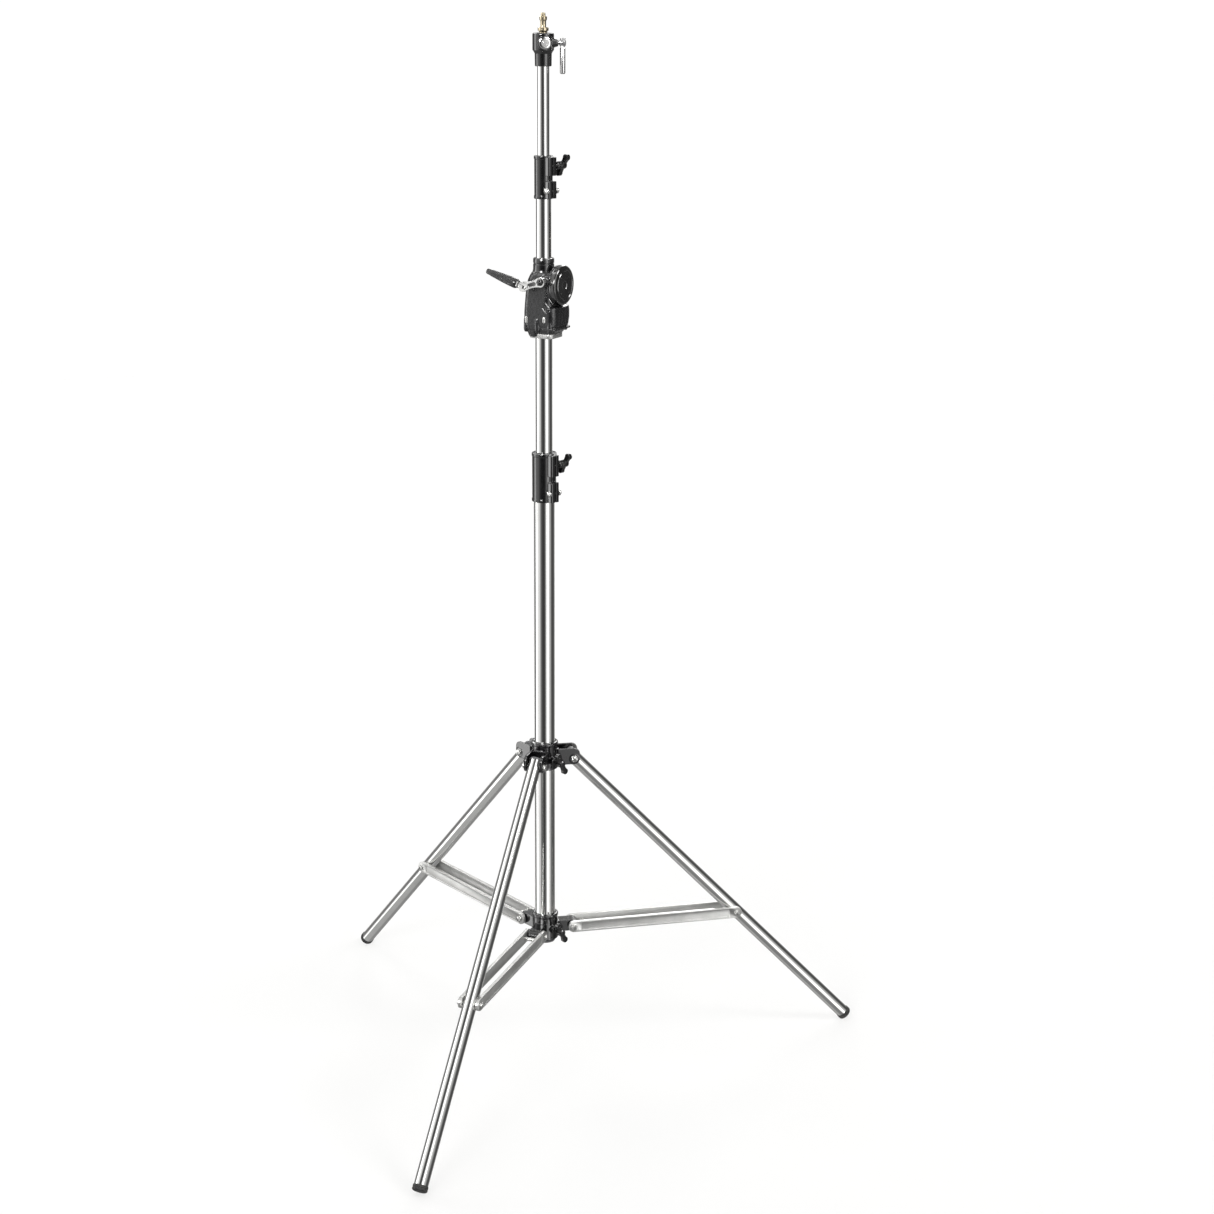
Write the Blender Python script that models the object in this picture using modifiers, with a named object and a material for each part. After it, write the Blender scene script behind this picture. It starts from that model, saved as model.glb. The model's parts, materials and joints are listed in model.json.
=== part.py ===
"""Crank lighting stand: a four-section steel column on three folding legs, wound up by a geared winch.

The row frame has +Z up and its origin on the floor, in the middle of the feet's bounding box.
The front leg points along -Y. Everything is placed from the empty "column", which stands on the
column's own axis. All sizes are in metres.
"""

import math

import bmesh
import bpy
from mathutils import Matrix, Vector

GAP = 0.0003  # between pieces that touch or slide
FACETS = 20  # round column pieces, so that nested pieces keep parallel faces
LEG_FACETS = 16
SMALL_FACETS = 10  # bolts, pins and bushes
DRAWING_SCALE = 1000

# Column tubes: outer radius, inner radius, lower end, upper end.
BASE_TUBE = (0.0225, 0.0209, 0.262, 1.336)
RISER_1 = (0.0180, 0.0165, 0.560, 1.705)
RISER_2 = (0.0160, 0.0145, 0.900, 1.965)
RISER_3 = (0.0125, 0.0110, 1.200, 2.212)

# Leg linkage.
SPOKES = {"front": -90.0, "right": 30.0, "left": 150.0}  # degrees about the column
LEG_ANGLE = math.radians(43.6)  # from vertical, legs spread
PIVOT_R = 0.063  # pivots' distance from the column's axis
LEG_PIVOT_Z = 0.695
BRACE_PIVOT_Z = 0.292
LEG_R = 0.015
LEG_WALL = 0.0015
LEG_TOP = 0.012  # tube above its pivot
BRACE_JOINT = 0.548  # along the leg, from its pivot to the brace bolt
BAR_WIDTH = 0.008
BAR_HEIGHT = 0.026
SPACER_AT = 0.024  # along the brace, clear of the spider's arm and of the folded leg
SPACER_R = 0.0042
PIVOT_HOLE_R = 0.0044
PIVOT_BOLT_R = 0.0040
SIDE_CLEARANCE = 0.0005  # between a leg and the parts that straddle it

# Rubber feet.
FOOT_R = 0.0162
FOOT_EDGE = 0.004  # radius of the rounded end
FOOT_LENGTH = 0.012
FOOT_FLOOR = 0.005  # rubber beyond the tube's end
FOOT_WEAR = 0.001  # worn flat where it stands

# Spiders, the castings that carry the legs and braces.
SPIDER_BORE_R = BASE_TUBE[0] + GAP
SPIDER_HUB_R = 0.0285
EAR_THICKNESS = 0.006
EAR_R = 0.013
UPPER_EAR_TOP = 0.024  # above the pivots, where the upper ears are squared off
UPPER_HUB = (-0.023, 0.040)  # below and above the pivots
LOWER_HUB = (-0.028, 0.033)
SPIDER_KNOB_TURN = -30.0  # degrees, between the front and right legs
SPIDER_BOSS_R = 0.009
SPIDER_BOSS_END = 0.038

# Clamp collars: bore radius, outer radius, ear reach, lower end, upper end.
COLLAR_1 = (BASE_TUBE[0] + GAP, 0.0258, 0.0370, 1.280, 1.386)
COLLAR_2 = (RISER_2[0] + GAP, 0.0192, 0.0300, 1.922, 2.010)
EAR_TURN = -28.0  # degrees, the collars' split ears
EAR_HALF_WIDTH = 0.0115
SPLIT_WIDTH = 0.0024
KNOB_BAR = (0.0148, 0.0240)  # height of a T knob's bar above its seat, so that it clears the collar
SCREW_R = 0.0040
SCREW_HOLE_R = 0.0044

# Winch. Its frame has x across to the round cover, y to the rear and z up.
WINCH_TURN = -9.2  # degrees about the column
SHAFT_X = 0.025
SHAFT_Z = 1.757
SHAFT_R = 0.005
TOOTH_MODULE = 0.0025
PINION_TEETH = 8
PINION_WIDTH = 0.0058
RACK_FACE_X = 0.0158  # tips of the rack's teeth
RACK_BACK_X = 0.01285
RACK_WIDTH = 0.0064
RACK_SPAN = (1.140, 1.895)
TOOTH_UP = 0.0010  # tooth tip above its pitch line
TOOTH_DOWN = 0.0012
TOOTH_HALF = 0.00165  # half thickness at the pitch line
TOOTH_SLOPE = math.tan(math.radians(20))
CHAMBER_R = 0.033
COVER_Z = 1.746
COVER_R = 0.0415
COVER_X = (0.0372, 0.0515)
HOUSING_BASE_Z = 1.645
HOUSING_TOP_Z = 1.772

# Crank and grip, in the frame of the crank shaft: x across, y up, z out to the front.
ARM_LENGTH = 0.044
ARM_DROP = math.radians(16.0)  # of the arm below level, at rest
ARM_HALF_WIDTH = 0.0105
ARM_SPAN = (0.0490, 0.0590)
GRIP_RISE = math.radians(17.0)  # of the folded grip above level
GRIP_START = 0.0165
GRIP_END = 0.0920
GRIP_ROOT_R = 0.0105
GRIP_TIP_R = 0.0056
SPINDLE_R = 0.0030

# Top fitting.
SOCKET_Z = (2.189, 2.216, 2.2555)  # lower end, foot of the head, rim
SOCKET_R = (0.0173, 0.0222)
SPIGOT_STEM_R = 0.0080
SOCKET_FLOOR_Z = 2.2145
SPIGOT_TOP_Z = 2.295
SPIGOT_SEAT_Z = 2.266
LOCK_Z = 2.2355
LOCK_TURN = 11.0  # degrees, direction of the lock screw
LEVER_R = 0.0400  # distance of the lever from the column's axis
LEVER_SPAN = (-0.0615, 0.0110)
BOSS_SCREW_TURN = -60.0
BOSS_SCREW_R = 0.0125

STEEL = ((0.62, 0.62, 0.61), 0.22, 1.0)
SATIN = ((0.50, 0.50, 0.49), 0.38, 1.0)
CAST_BLACK = ((0.020, 0.020, 0.021), 0.45, 0.0)
GLOSS_BLACK = ((0.012, 0.012, 0.012), 0.18, 0.0)
RUBBER = ((0.015, 0.015, 0.015), 0.75, 0.0)
NYLON = ((0.055, 0.055, 0.058), 0.55, 0.0)
BRASS = ((0.62, 0.50, 0.24), 0.30, 1.0)


# ---------------------------------------------------------------- scene and materials


def new_collection(name):
    collection = bpy.data.collections.new(name)
    bpy.context.scene.collection.children.link(collection)
    return collection


def clear_scene():
    for item in list(bpy.data.objects):
        bpy.data.objects.remove(item, do_unlink=True)


clear_scene()
PARTS = new_collection("crank_lighting_stand")
CUTTERS = new_collection("cutters")


def give_material(obj, look):
    """The look is (colour, roughness, metallic)."""
    colour, roughness, metallic = look
    material = bpy.data.materials.new(obj.name)
    material.use_nodes = True
    shader = material.node_tree.nodes["Principled BSDF"]
    shader.inputs["Base Color"].default_value = (*colour, 1.0)
    shader.inputs["Roughness"].default_value = roughness
    shader.inputs["Metallic"].default_value = metallic
    obj.data.materials.append(material)


# ---------------------------------------------------------------- placing


def empty(name, parent=None, matrix=None):
    obj = bpy.data.objects.new(name, None)
    obj.empty_display_size = 0.03
    CUTTERS.objects.link(obj)
    obj.parent = parent
    if matrix is not None:
        obj.matrix_local = matrix
    return obj


def shifted(x=0.0, y=0.0, z=0.0):
    return Matrix.Translation((x, y, z))


def turned_about_z(degrees):
    return Matrix.Rotation(math.radians(degrees), 4, "Z")


def axes_frame(origin, x_axis, z_axis):
    """A frame with the given origin, x axis and z axis."""
    y_axis = z_axis.cross(x_axis)
    frame = Matrix((x_axis, y_axis, z_axis)).transposed().to_4x4()
    frame.translation = origin
    return frame


def along_x(x=0.0, y=0.0, z=0.0):
    """A frame whose z axis is its parent's x axis, at a point."""
    return shifted(x, y, z) @ Matrix.Rotation(math.radians(90), 4, "Y")


def crank_frame():
    """In the winch's frame: z along the crank shaft to the front, x across, y up."""
    return shifted(SHAFT_X, 0, SHAFT_Z) @ Matrix.Rotation(math.radians(90), 4, "X")


# ---------------------------------------------------------------- making solids


def add_mesh(name, mesh, parent, matrix, look):
    """A part when it has a look, or else an operand for a Boolean."""
    obj = bpy.data.objects.new(name, mesh)
    (PARTS if look else CUTTERS).objects.link(obj)
    obj.parent = parent
    if matrix is not None:
        obj.matrix_local = matrix
    if look:
        give_material(obj, look)
    else:
        obj.hide_render = True
        obj.display_type = "WIRE"
    return obj


def smooth(obj, angle=35):
    obj.data.shade_smooth()
    obj.data.set_sharp_from_angle(angle=math.radians(angle))


def lathe(name, profile, parent=None, matrix=None, look=None, facets=FACETS, closed=False):
    """Turn a profile of (radius, z) about z. It runs down the outer side; a hollow one is closed."""
    mesh = bpy.data.meshes.new(name)
    edges = [(k, k + 1) for k in range(len(profile) - 1)]
    if closed:
        edges.append((len(profile) - 1, 0))
    mesh.from_pydata([(r, 0.0, z) for r, z in profile], edges, [])
    obj = add_mesh(name, mesh, parent, matrix, look)
    screw = obj.modifiers.new("turn", "SCREW")
    screw.steps = screw.render_steps = facets
    screw.use_merge_vertices = True
    screw.merge_threshold = 0.00001
    screw.use_smooth_shade = True
    return obj


def ring(name, inner, outer, low, high, parent=None, matrix=None, look=None, facets=FACETS):
    profile = [(outer, high), (outer, low), (inner, low), (inner, high)]
    return lathe(name, profile, parent, matrix, look, facets, closed=True)


def rod(name, radius, low, high, parent=None, matrix=None, look=None, facets=SMALL_FACETS):
    profile = [(0.0, high), (radius, high), (radius, low), (0.0, low)]
    return lathe(name, profile, parent, matrix, look, facets)


def box(name, low, high, parent=None, matrix=None, look=None, bevel=0.0):
    mesh = bpy.data.meshes.new(name)
    shape = bmesh.new()
    bmesh.ops.create_cube(shape, size=1.0)
    size = [b - a for a, b in zip(low, high)]
    middle = [(a + b) / 2 for a, b in zip(low, high)]
    bmesh.ops.scale(shape, vec=size, verts=shape.verts)
    bmesh.ops.translate(shape, vec=middle, verts=shape.verts)
    shape.to_mesh(mesh)
    shape.free()
    obj = add_mesh(name, mesh, parent, matrix, look)
    if bevel:
        rounding = obj.modifiers.new("round", "BEVEL")
        rounding.width = bevel
        rounding.segments = 1
    return obj


def arc(x, y, radius, start, end, steps):
    """Points on an arc, from one angle to another in degrees, both ends included."""
    points = []
    for k in range(steps + 1):
        angle = math.radians(start + (end - start) * k / steps)
        points.append((x + radius * math.cos(angle), y + radius * math.sin(angle)))
    return points


def capsule(length, radius, steps=5):
    """An outline along x from 0 to length, with round ends."""
    return arc(length, 0, radius, -90, 90, steps) + arc(0, 0, radius, 90, 270, steps)


def rounded_box_outline(left, right, half, corner, steps=3):
    return (
        arc(right - corner, half - corner, corner, 0, 90, steps)
        + arc(left + corner, half - corner, corner, 90, 180, steps)
        + arc(left + corner, corner - half, corner, 180, 270, steps)
        + arc(right - corner, corner - half, corner, 270, 360, steps)
    )


def plate(name, outline, low, high, parent=None, matrix=None, look=None):
    """A flat outline in x and y, as thick as low to high in z, made a mesh from a filled curve.

    The curve is drawn DRAWING_SCALE times too large, because Blender fills small outlines coarsely.
    """
    curve = bpy.data.curves.new(name, "CURVE")
    curve.dimensions = "2D"
    curve.fill_mode = "BOTH"
    curve.extrude = (high - low) / 2 * DRAWING_SCALE
    spline = curve.splines.new("POLY")
    spline.points.add(len(outline) - 1)
    for point, (x, y) in zip(spline.points, outline):
        point.co = (x * DRAWING_SCALE, y * DRAWING_SCALE, 0.0, 1.0)
    spline.use_cyclic_u = True
    holder = bpy.data.objects.new(name + "_outline", curve)
    CUTTERS.objects.link(holder)
    bpy.context.view_layer.update()
    graph = bpy.context.evaluated_depsgraph_get()
    mesh = bpy.data.meshes.new_from_object(holder.evaluated_get(graph))
    bpy.data.objects.remove(holder)
    shape = bmesh.new()
    shape.from_mesh(mesh)
    bmesh.ops.scale(shape, vec=[1 / DRAWING_SCALE] * 3, verts=shape.verts)
    bmesh.ops.remove_doubles(shape, verts=shape.verts, dist=0.000001)
    bmesh.ops.translate(shape, vec=(0, 0, (low + high) / 2), verts=shape.verts)
    bmesh.ops.recalc_face_normals(shape, faces=shape.faces)
    shape.to_mesh(mesh)
    shape.free()
    mesh.materials.clear()
    return add_mesh(name, mesh, parent, matrix, look)


def prism(name, outline, low, high, parent=None, matrix=None, look=None):
    """Like plate, for an outline with too many corners for a filled curve: one face, extruded."""
    mesh = bpy.data.meshes.new(name)
    shape = bmesh.new()
    face = shape.faces.new([shape.verts.new((x, y, low)) for x, y in outline])
    walls = bmesh.ops.extrude_face_region(shape, geom=[face], use_keep_orig=True)
    raised = [item for item in walls["geom"] if isinstance(item, bmesh.types.BMVert)]
    bmesh.ops.translate(shape, vec=(0, 0, high - low), verts=raised)
    bmesh.ops.recalc_face_normals(shape, faces=shape.faces)
    shape.to_mesh(mesh)
    shape.free()
    return add_mesh(name, mesh, parent, matrix, look)


def loft(name, sections, parent=None, matrix=None, look=None):
    """A closed body through outlines of equally many points; each section is (z, outline)."""
    mesh = bpy.data.meshes.new(name)
    shape = bmesh.new()
    rows = [[shape.verts.new((x, y, z)) for x, y in outline] for z, outline in sections]
    count = len(rows[0])
    for lower, upper in zip(rows, rows[1:]):
        for k in range(count):
            n = (k + 1) % count
            shape.faces.new((lower[k], lower[n], upper[n], upper[k]))
    shape.faces.new(rows[0][::-1])
    shape.faces.new(rows[-1])
    bmesh.ops.recalc_face_normals(shape, faces=shape.faces)
    shape.to_mesh(mesh)
    shape.free()
    return add_mesh(name, mesh, parent, matrix, look)


def combine(obj, operand, operation):
    change = obj.modifiers.new(operation.lower(), "BOOLEAN")
    change.operation = operation
    change.solver = "EXACT"
    change.object = operand


def cut(obj, *operands):
    for operand in operands:
        combine(obj, operand, "DIFFERENCE")


def join(obj, *operands):
    for operand in operands:
        combine(obj, operand, "UNION")


def gather(name, pieces, parent=None, matrix=None, look=None):
    """Several separate solids, each in its own place, made one object."""
    bpy.context.view_layer.update()
    graph = bpy.context.evaluated_depsgraph_get()
    shape = bmesh.new()
    for piece in pieces:
        mesh = bpy.data.meshes.new_from_object(piece.evaluated_get(graph))
        mesh.transform(piece.matrix_local)
        shape.from_mesh(mesh)
    mesh = bpy.data.meshes.new(name)
    shape.to_mesh(mesh)
    shape.free()
    mesh.materials.clear()
    for piece in pieces:
        bpy.data.objects.remove(piece)
    return add_mesh(name, mesh, parent, matrix, look)


def spool_profile(shank, head, head_height, low, high):
    """A bolt with its nut done up: a head below low and a nut above high, on one shank."""
    return [
        (0.0, high + head_height),
        (head * 0.86, high + head_height),
        (head, high + head_height * 0.6),
        (head, high),
        (shank, high),
        (shank, low),
        (head, low),
        (head, low - head_height * 0.6),
        (head * 0.86, low - head_height),
        (0.0, low - head_height),
    ]


# ---------------------------------------------------------------- column


def make_base(column):
    outer, inner, low, high = BASE_TUBE
    ring("base_tube", inner, outer, low, high, column, None, STEEL)
    plug = [
        (0.0, low + 0.018),
        (inner - GAP, low + 0.018),
        (inner - GAP, low - GAP),
        (outer, low - GAP),
        (outer, low - 0.005),
        (0.0, low - 0.005),
    ]
    lathe("base_end_cap", plug, column, None, NYLON)


def make_collar(name, sizes, tube, parent):
    """A split clamp collar on top of a tube: its sleeve, ears, bush, clamp bolt and T knob."""
    bore, outer, reach, low, high = sizes
    height = high - low
    sleeve = ring(name, bore + 0.001, outer, low, high, parent, None, CAST_BLACK)
    ear_frame = turned_about_z(EAR_TURN)
    ear = box(name + "_ear", (bore + 0.0015, -EAR_HALF_WIDTH, low + 0.002),
              (reach, EAR_HALF_WIDTH, high - 0.002), parent, ear_frame, bevel=0.0015)
    bore_cutter = rod(name + "_bore", bore, low - 0.01, high + 0.01, parent, facets=FACETS)
    split = box(name + "_split", (bore - 0.004, -SPLIT_WIDTH / 2, low - 0.01),
                (reach + 0.01, SPLIT_WIDTH / 2, high + 0.01), parent, ear_frame)
    notch = box(name + "_notch", (outer + 0.002, -0.03, low + height * 0.42),
                (reach + 0.01, 0.03, low + height * 0.55), parent, ear_frame)
    screw_x = (bore + reach) / 2 + 0.0015
    knob_z = low + height * 0.78
    bolt_z = low + height * 0.20
    holes = []
    for hole_z in (knob_z, bolt_z):
        frame = ear_frame @ shifted(screw_x, 0, hole_z) @ Matrix.Rotation(math.radians(-90), 4, "X")
        holes.append(rod(f"{name}_hole_{len(holes)}", SCREW_HOLE_R, -0.03, 0.03, parent, frame))
    join(sleeve, ear)
    cut(sleeve, bore_cutter, split, notch, *holes)

    grip_low = tube[3] + GAP
    inner = {"collar_1": RISER_1, "collar_2": RISER_3}[name][0]
    ring(name + "_bush", inner + GAP, bore - GAP, grip_low, high - 0.001, parent, None, NYLON)
    bolt_frame = ear_frame @ shifted(screw_x, 0, bolt_z) @ Matrix.Rotation(math.radians(-90), 4, "X")
    side = EAR_HALF_WIDTH + GAP
    lathe(name + "_bolt", spool_profile(SCREW_R, 0.0065, 0.005, -side, side), parent, bolt_frame,
          STEEL, SMALL_FACETS)
    knob_frame = ear_frame @ shifted(screw_x, side, knob_z) @ Matrix.Rotation(math.radians(-90), 4, "X")
    knob_axis = empty(name + "_knob_axis", parent, knob_frame)
    make_t_knob(name + "_knob", knob_axis, EAR_HALF_WIDTH * 2 - 0.001, 120)


def make_t_knob(name, axis, screw_length, turn):
    """A T knob with its screw moulded in. The axis frame's z points out; its origin is the seat."""
    body = [
        (0.0, 0.0265),
        (0.0055, 0.0265),
        (0.0080, 0.0240),
        (0.0088, 0.0160),
        (0.0068, 0.0006),
        (SCREW_R, 0.0006),
        (SCREW_R, -screw_length),
        (0.0, -screw_length),
    ]
    knob = lathe(name, body, axis, turned_about_z(turn), CAST_BLACK, 12)
    half, lobe, waist = 0.0205, 0.0068, 0.0048
    outline = (
        arc(half, 0, lobe, -120, 120, 5) + [(0.006, waist), (-0.006, waist)]
        + arc(-half, 0, lobe, 60, 300, 5) + [(-0.006, -waist), (0.006, -waist)]
    )
    bar = plate(name + "_bar", outline, *KNOB_BAR, axis, turned_about_z(turn))
    join(knob, bar)


def make_riser_1(column):
    outer, inner, low, high = RISER_1
    ring("riser_1_tube", inner, outer, low, high, column, None, STEEL)
    ring("riser_1_guide", outer + GAP, BASE_TUBE[1] - GAP, low, low + 0.04, column, None, NYLON)


def make_riser_2(column, winch):
    outer, inner, low, high = RISER_2
    tube = ring("riser_2_tube", inner, outer, low, high, column, None, STEEL)
    half = RACK_WIDTH / 2 + GAP
    slot = box("rack_slot", (0.010, -half, RACK_SPAN[0]), (0.020, half, RACK_SPAN[1]), winch)
    cut(tube, slot)
    make_rack(winch)


def make_riser_3(column, winch):
    outer, inner, low, high = RISER_3
    ring("riser_3_tube", inner, outer, low, high, column, None, STEEL)
    guide = ring("riser_3_guide", outer + GAP, RISER_2[1] - GAP, low, low + 0.035, column, None, NYLON)
    half = RACK_WIDTH / 2 + 0.0008
    cut(guide, box("rack_way", (0.005, -half, low - 0.01), (0.020, half, low + 0.05), winch))


# ---------------------------------------------------------------- legs and braces


def spoke_axes(degrees):
    """The outward direction and the pivot direction of a leg."""
    angle = math.radians(degrees)
    outward = Vector((math.cos(angle), math.sin(angle), 0.0))
    across = Vector((-math.sin(angle), math.cos(angle), 0.0))
    return outward, across


def foot_end():
    """Along the leg from its pivot to the foot's end, so that the worn flat lies on the floor."""
    drop = LEG_PIVOT_Z - (FOOT_R - FOOT_EDGE) * math.sin(LEG_ANGLE) - FOOT_EDGE + FOOT_WEAR
    return FOOT_EDGE + drop / math.cos(LEG_ANGLE)


def make_leg(side, column):
    outward, across = spoke_axes(SPOKES[side])
    down = outward * math.sin(LEG_ANGLE) - Vector((0, 0, math.cos(LEG_ANGLE)))
    pivot = outward * PIVOT_R + Vector((0, 0, LEG_PIVOT_Z))
    axis = empty(f"leg_{side}_axis", column, axes_frame(pivot, across, down))
    end = foot_end()
    tube_end = end - FOOT_FLOOR - GAP
    hole = rod(f"leg_{side}_hole", PIVOT_HOLE_R, -0.03, 0.03, axis, along_x())
    joint_hole = rod(f"leg_{side}_joint_hole", PIVOT_HOLE_R, -0.03, 0.03, axis, along_x(z=BRACE_JOINT))
    tube = ring(f"leg_{side}_tube", LEG_R - LEG_WALL, LEG_R, -LEG_TOP, tube_end, axis, None, STEEL,
                LEG_FACETS)
    cut(tube, hole, joint_hole)
    inside = LEG_R - LEG_WALL - GAP
    plug = [
        (0.0, 0.026),
        (inside, 0.026),
        (inside, -LEG_TOP - GAP),
        (LEG_R, -LEG_TOP - GAP),
        (LEG_R - 0.001, -LEG_TOP - 0.003),
        (LEG_R - 0.005, -LEG_TOP - 0.005),
        (0.0, -LEG_TOP - 0.006),
    ]
    top_plug = lathe(f"leg_{side}_plug", plug, axis, None, NYLON, LEG_FACETS)
    cut(top_plug, hole)
    rounding = [(y, end - FOOT_EDGE + x) for x, y in arc(0, FOOT_R - FOOT_EDGE, FOOT_EDGE, 0, 90, 3)]
    cup = [
        (0.0, end),
        *rounding,
        (FOOT_R, end - FOOT_LENGTH),
        (LEG_R + GAP, end - FOOT_LENGTH),
        (LEG_R + GAP, end - FOOT_FLOOR),
        (0.0, end - FOOT_FLOOR),
    ]
    foot = lathe(f"leg_{side}_foot", cup, axis, None, RUBBER, LEG_FACETS)
    cut(foot, FLOOR)


def brace_geometry():
    """The brace's length and its angle from vertical with the legs spread."""
    reach = BRACE_JOINT * math.sin(LEG_ANGLE)
    rise = LEG_PIVOT_Z - BRACE_JOINT * math.cos(LEG_ANGLE) - BRACE_PIVOT_Z
    return math.hypot(reach, rise), math.atan2(reach, rise)


def make_brace(side, column):
    """Two bars that straddle the leg, held apart by a spacer, and the bolt of their outer joint."""
    outward, across = spoke_axes(SPOKES[side])
    length, angle = brace_geometry()
    along = outward * math.sin(angle) + Vector((0, 0, math.cos(angle)))
    pivot = outward * PIVOT_R + Vector((0, 0, BRACE_PIVOT_Z))
    axis = empty(f"brace_{side}_axis", column, axes_frame(pivot, across, along))
    inner_face = LEG_R + SIDE_CLEARANCE
    outer_face = inner_face + BAR_WIDTH
    lying = Matrix.Rotation(math.radians(-90), 4, "Y")
    outline = capsule(length, BAR_HEIGHT / 2)
    bars = [
        plate("bar", outline, low, low + BAR_WIDTH, matrix=lying)
        for low in (-outer_face, inner_face)
    ]
    pair = gather(f"brace_{side}", bars, axis, None, SATIN)
    half = inner_face + 0.003
    spacer = rod(f"brace_{side}_spacer", SPACER_R, -half, half, axis, along_x(z=SPACER_AT))
    pivot_hole = rod(f"brace_{side}_pivot_hole", PIVOT_HOLE_R, -0.04, 0.04, axis, along_x())
    joint_hole = rod(f"brace_{side}_joint_hole", PIVOT_HOLE_R, -0.04, 0.04, axis, along_x(z=length))
    join(pair, spacer)
    cut(pair, pivot_hole, joint_hole)
    half = outer_face + GAP
    lathe(f"brace_{side}_bolt", spool_profile(PIVOT_BOLT_R, 0.0060, 0.0045, -half, half), axis,
          along_x(z=length), SATIN, SMALL_FACETS)


def make_spider(name, pivot_z, hub, arms, ear_top, bolt_half, parent):
    """A hub that slides on the base tube, with arms for three pivots and a boss for its T knob.

    arms lists each arm's (low, high) across its spoke, ear_top is their height above the pivots, and
    bolt_half is half the pivot bolts' grip.
    """
    body = ring(name, SPIDER_BORE_R + 0.001, SPIDER_HUB_R, pivot_z + hub[0], pivot_z + hub[1],
                parent, None, CAST_BLACK)
    corner = arc(PIVOT_R, ear_top - EAR_R, EAR_R, 0, 90, 3)
    outline = [(0.019, -EAR_R)] + arc(PIVOT_R, 0, EAR_R, -90, 0, 3)[:-1] + corner + [(0.019, ear_top)]
    standing = Matrix.Rotation(math.radians(90), 4, "X")
    ears, holes = [], []
    for side, degrees in SPOKES.items():
        spoke = turned_about_z(degrees) @ shifted(z=pivot_z)
        for low, high in arms:
            ears.append(plate("ear", outline, low, high, matrix=spoke @ standing))
        across = spoke @ shifted(PIVOT_R) @ standing
        holes.append(rod("hole", PIVOT_HOLE_R, -0.05, 0.05, matrix=across))
        profile = spool_profile(PIVOT_BOLT_R, 0.0070, 0.005, -bolt_half, bolt_half)
        lathe(f"{name}_bolt_{side}", profile, parent, across, STEEL, SMALL_FACETS)
    boss_frame = turned_about_z(SPIDER_KNOB_TURN) @ along_x(z=pivot_z)
    boss = rod(name + "_boss", SPIDER_BOSS_R, 0.0245, SPIDER_BOSS_END, parent, boss_frame, facets=16)
    screw_hole = rod(name + "_screw_hole", SCREW_HOLE_R, 0.010, 0.060, parent, boss_frame)
    bore = rod(name + "_bore", SPIDER_BORE_R, pivot_z - 0.1, pivot_z + 0.1, parent, facets=FACETS)
    join(body, gather(name + "_ears", ears, parent), boss)
    cut(body, bore, gather(name + "_holes", holes, parent), screw_hole)
    knob_axis = empty(name + "_knob_axis", parent, boss_frame @ shifted(z=SPIDER_BOSS_END + GAP))
    make_t_knob(name + "_knob", knob_axis, SPIDER_BOSS_END - SPIDER_BORE_R - 0.0005, 20)


# ---------------------------------------------------------------- winch


def make_rack(winch):
    """The toothed bar let into riser 2, with a gap between teeth at the height of the crank shaft."""
    pitch = math.pi * TOOTH_MODULE
    line = RACK_FACE_X - TOOTH_UP
    root = line - TOOTH_DOWN
    at_root = TOOTH_HALF + TOOTH_DOWN * TOOTH_SLOPE
    at_tip = TOOTH_HALF - TOOTH_UP * TOOTH_SLOPE
    low, high = RACK_SPAN[0] + GAP, RACK_SPAN[1] - GAP
    first = math.ceil((low + at_root - SHAFT_Z) / pitch - 0.5)
    last = math.floor((high - at_root - SHAFT_Z) / pitch - 0.5)
    outline = [(RACK_BACK_X, low), (root, low)]
    for k in range(first, last + 1):
        middle = SHAFT_Z + (k + 0.5) * pitch
        outline.append((root, middle - at_root))
        outline.append((RACK_FACE_X, middle - at_tip))
        outline.append((RACK_FACE_X, middle + at_tip))
        outline.append((root, middle + at_root))
    outline += [(root, high), (RACK_BACK_X, high)]
    standing = Matrix.Rotation(math.radians(90), 4, "X")
    prism("rack", outline, -RACK_WIDTH / 2, RACK_WIDTH / 2, winch, standing, STEEL)


def pinion_outline():
    """Teeth that taper to their tips, one of them pointing at the rack."""
    pitch_r = TOOTH_MODULE * PINION_TEETH / 2
    rings = [
        (pitch_r - TOOTH_DOWN, TOOTH_HALF * 1.25),
        (pitch_r, TOOTH_HALF),
        (pitch_r + TOOTH_UP * 0.9, TOOTH_HALF * 0.62),
    ]
    outline = []
    for k in range(PINION_TEETH):
        middle = math.pi + k * 2 * math.pi / PINION_TEETH
        flank = [(r, -half / r) for r, half in rings] + [(r, half / r) for r, half in reversed(rings)]
        for r, offset in flank:
            outline.append((r * math.cos(middle + offset), r * math.sin(middle + offset)))
    return outline


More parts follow.
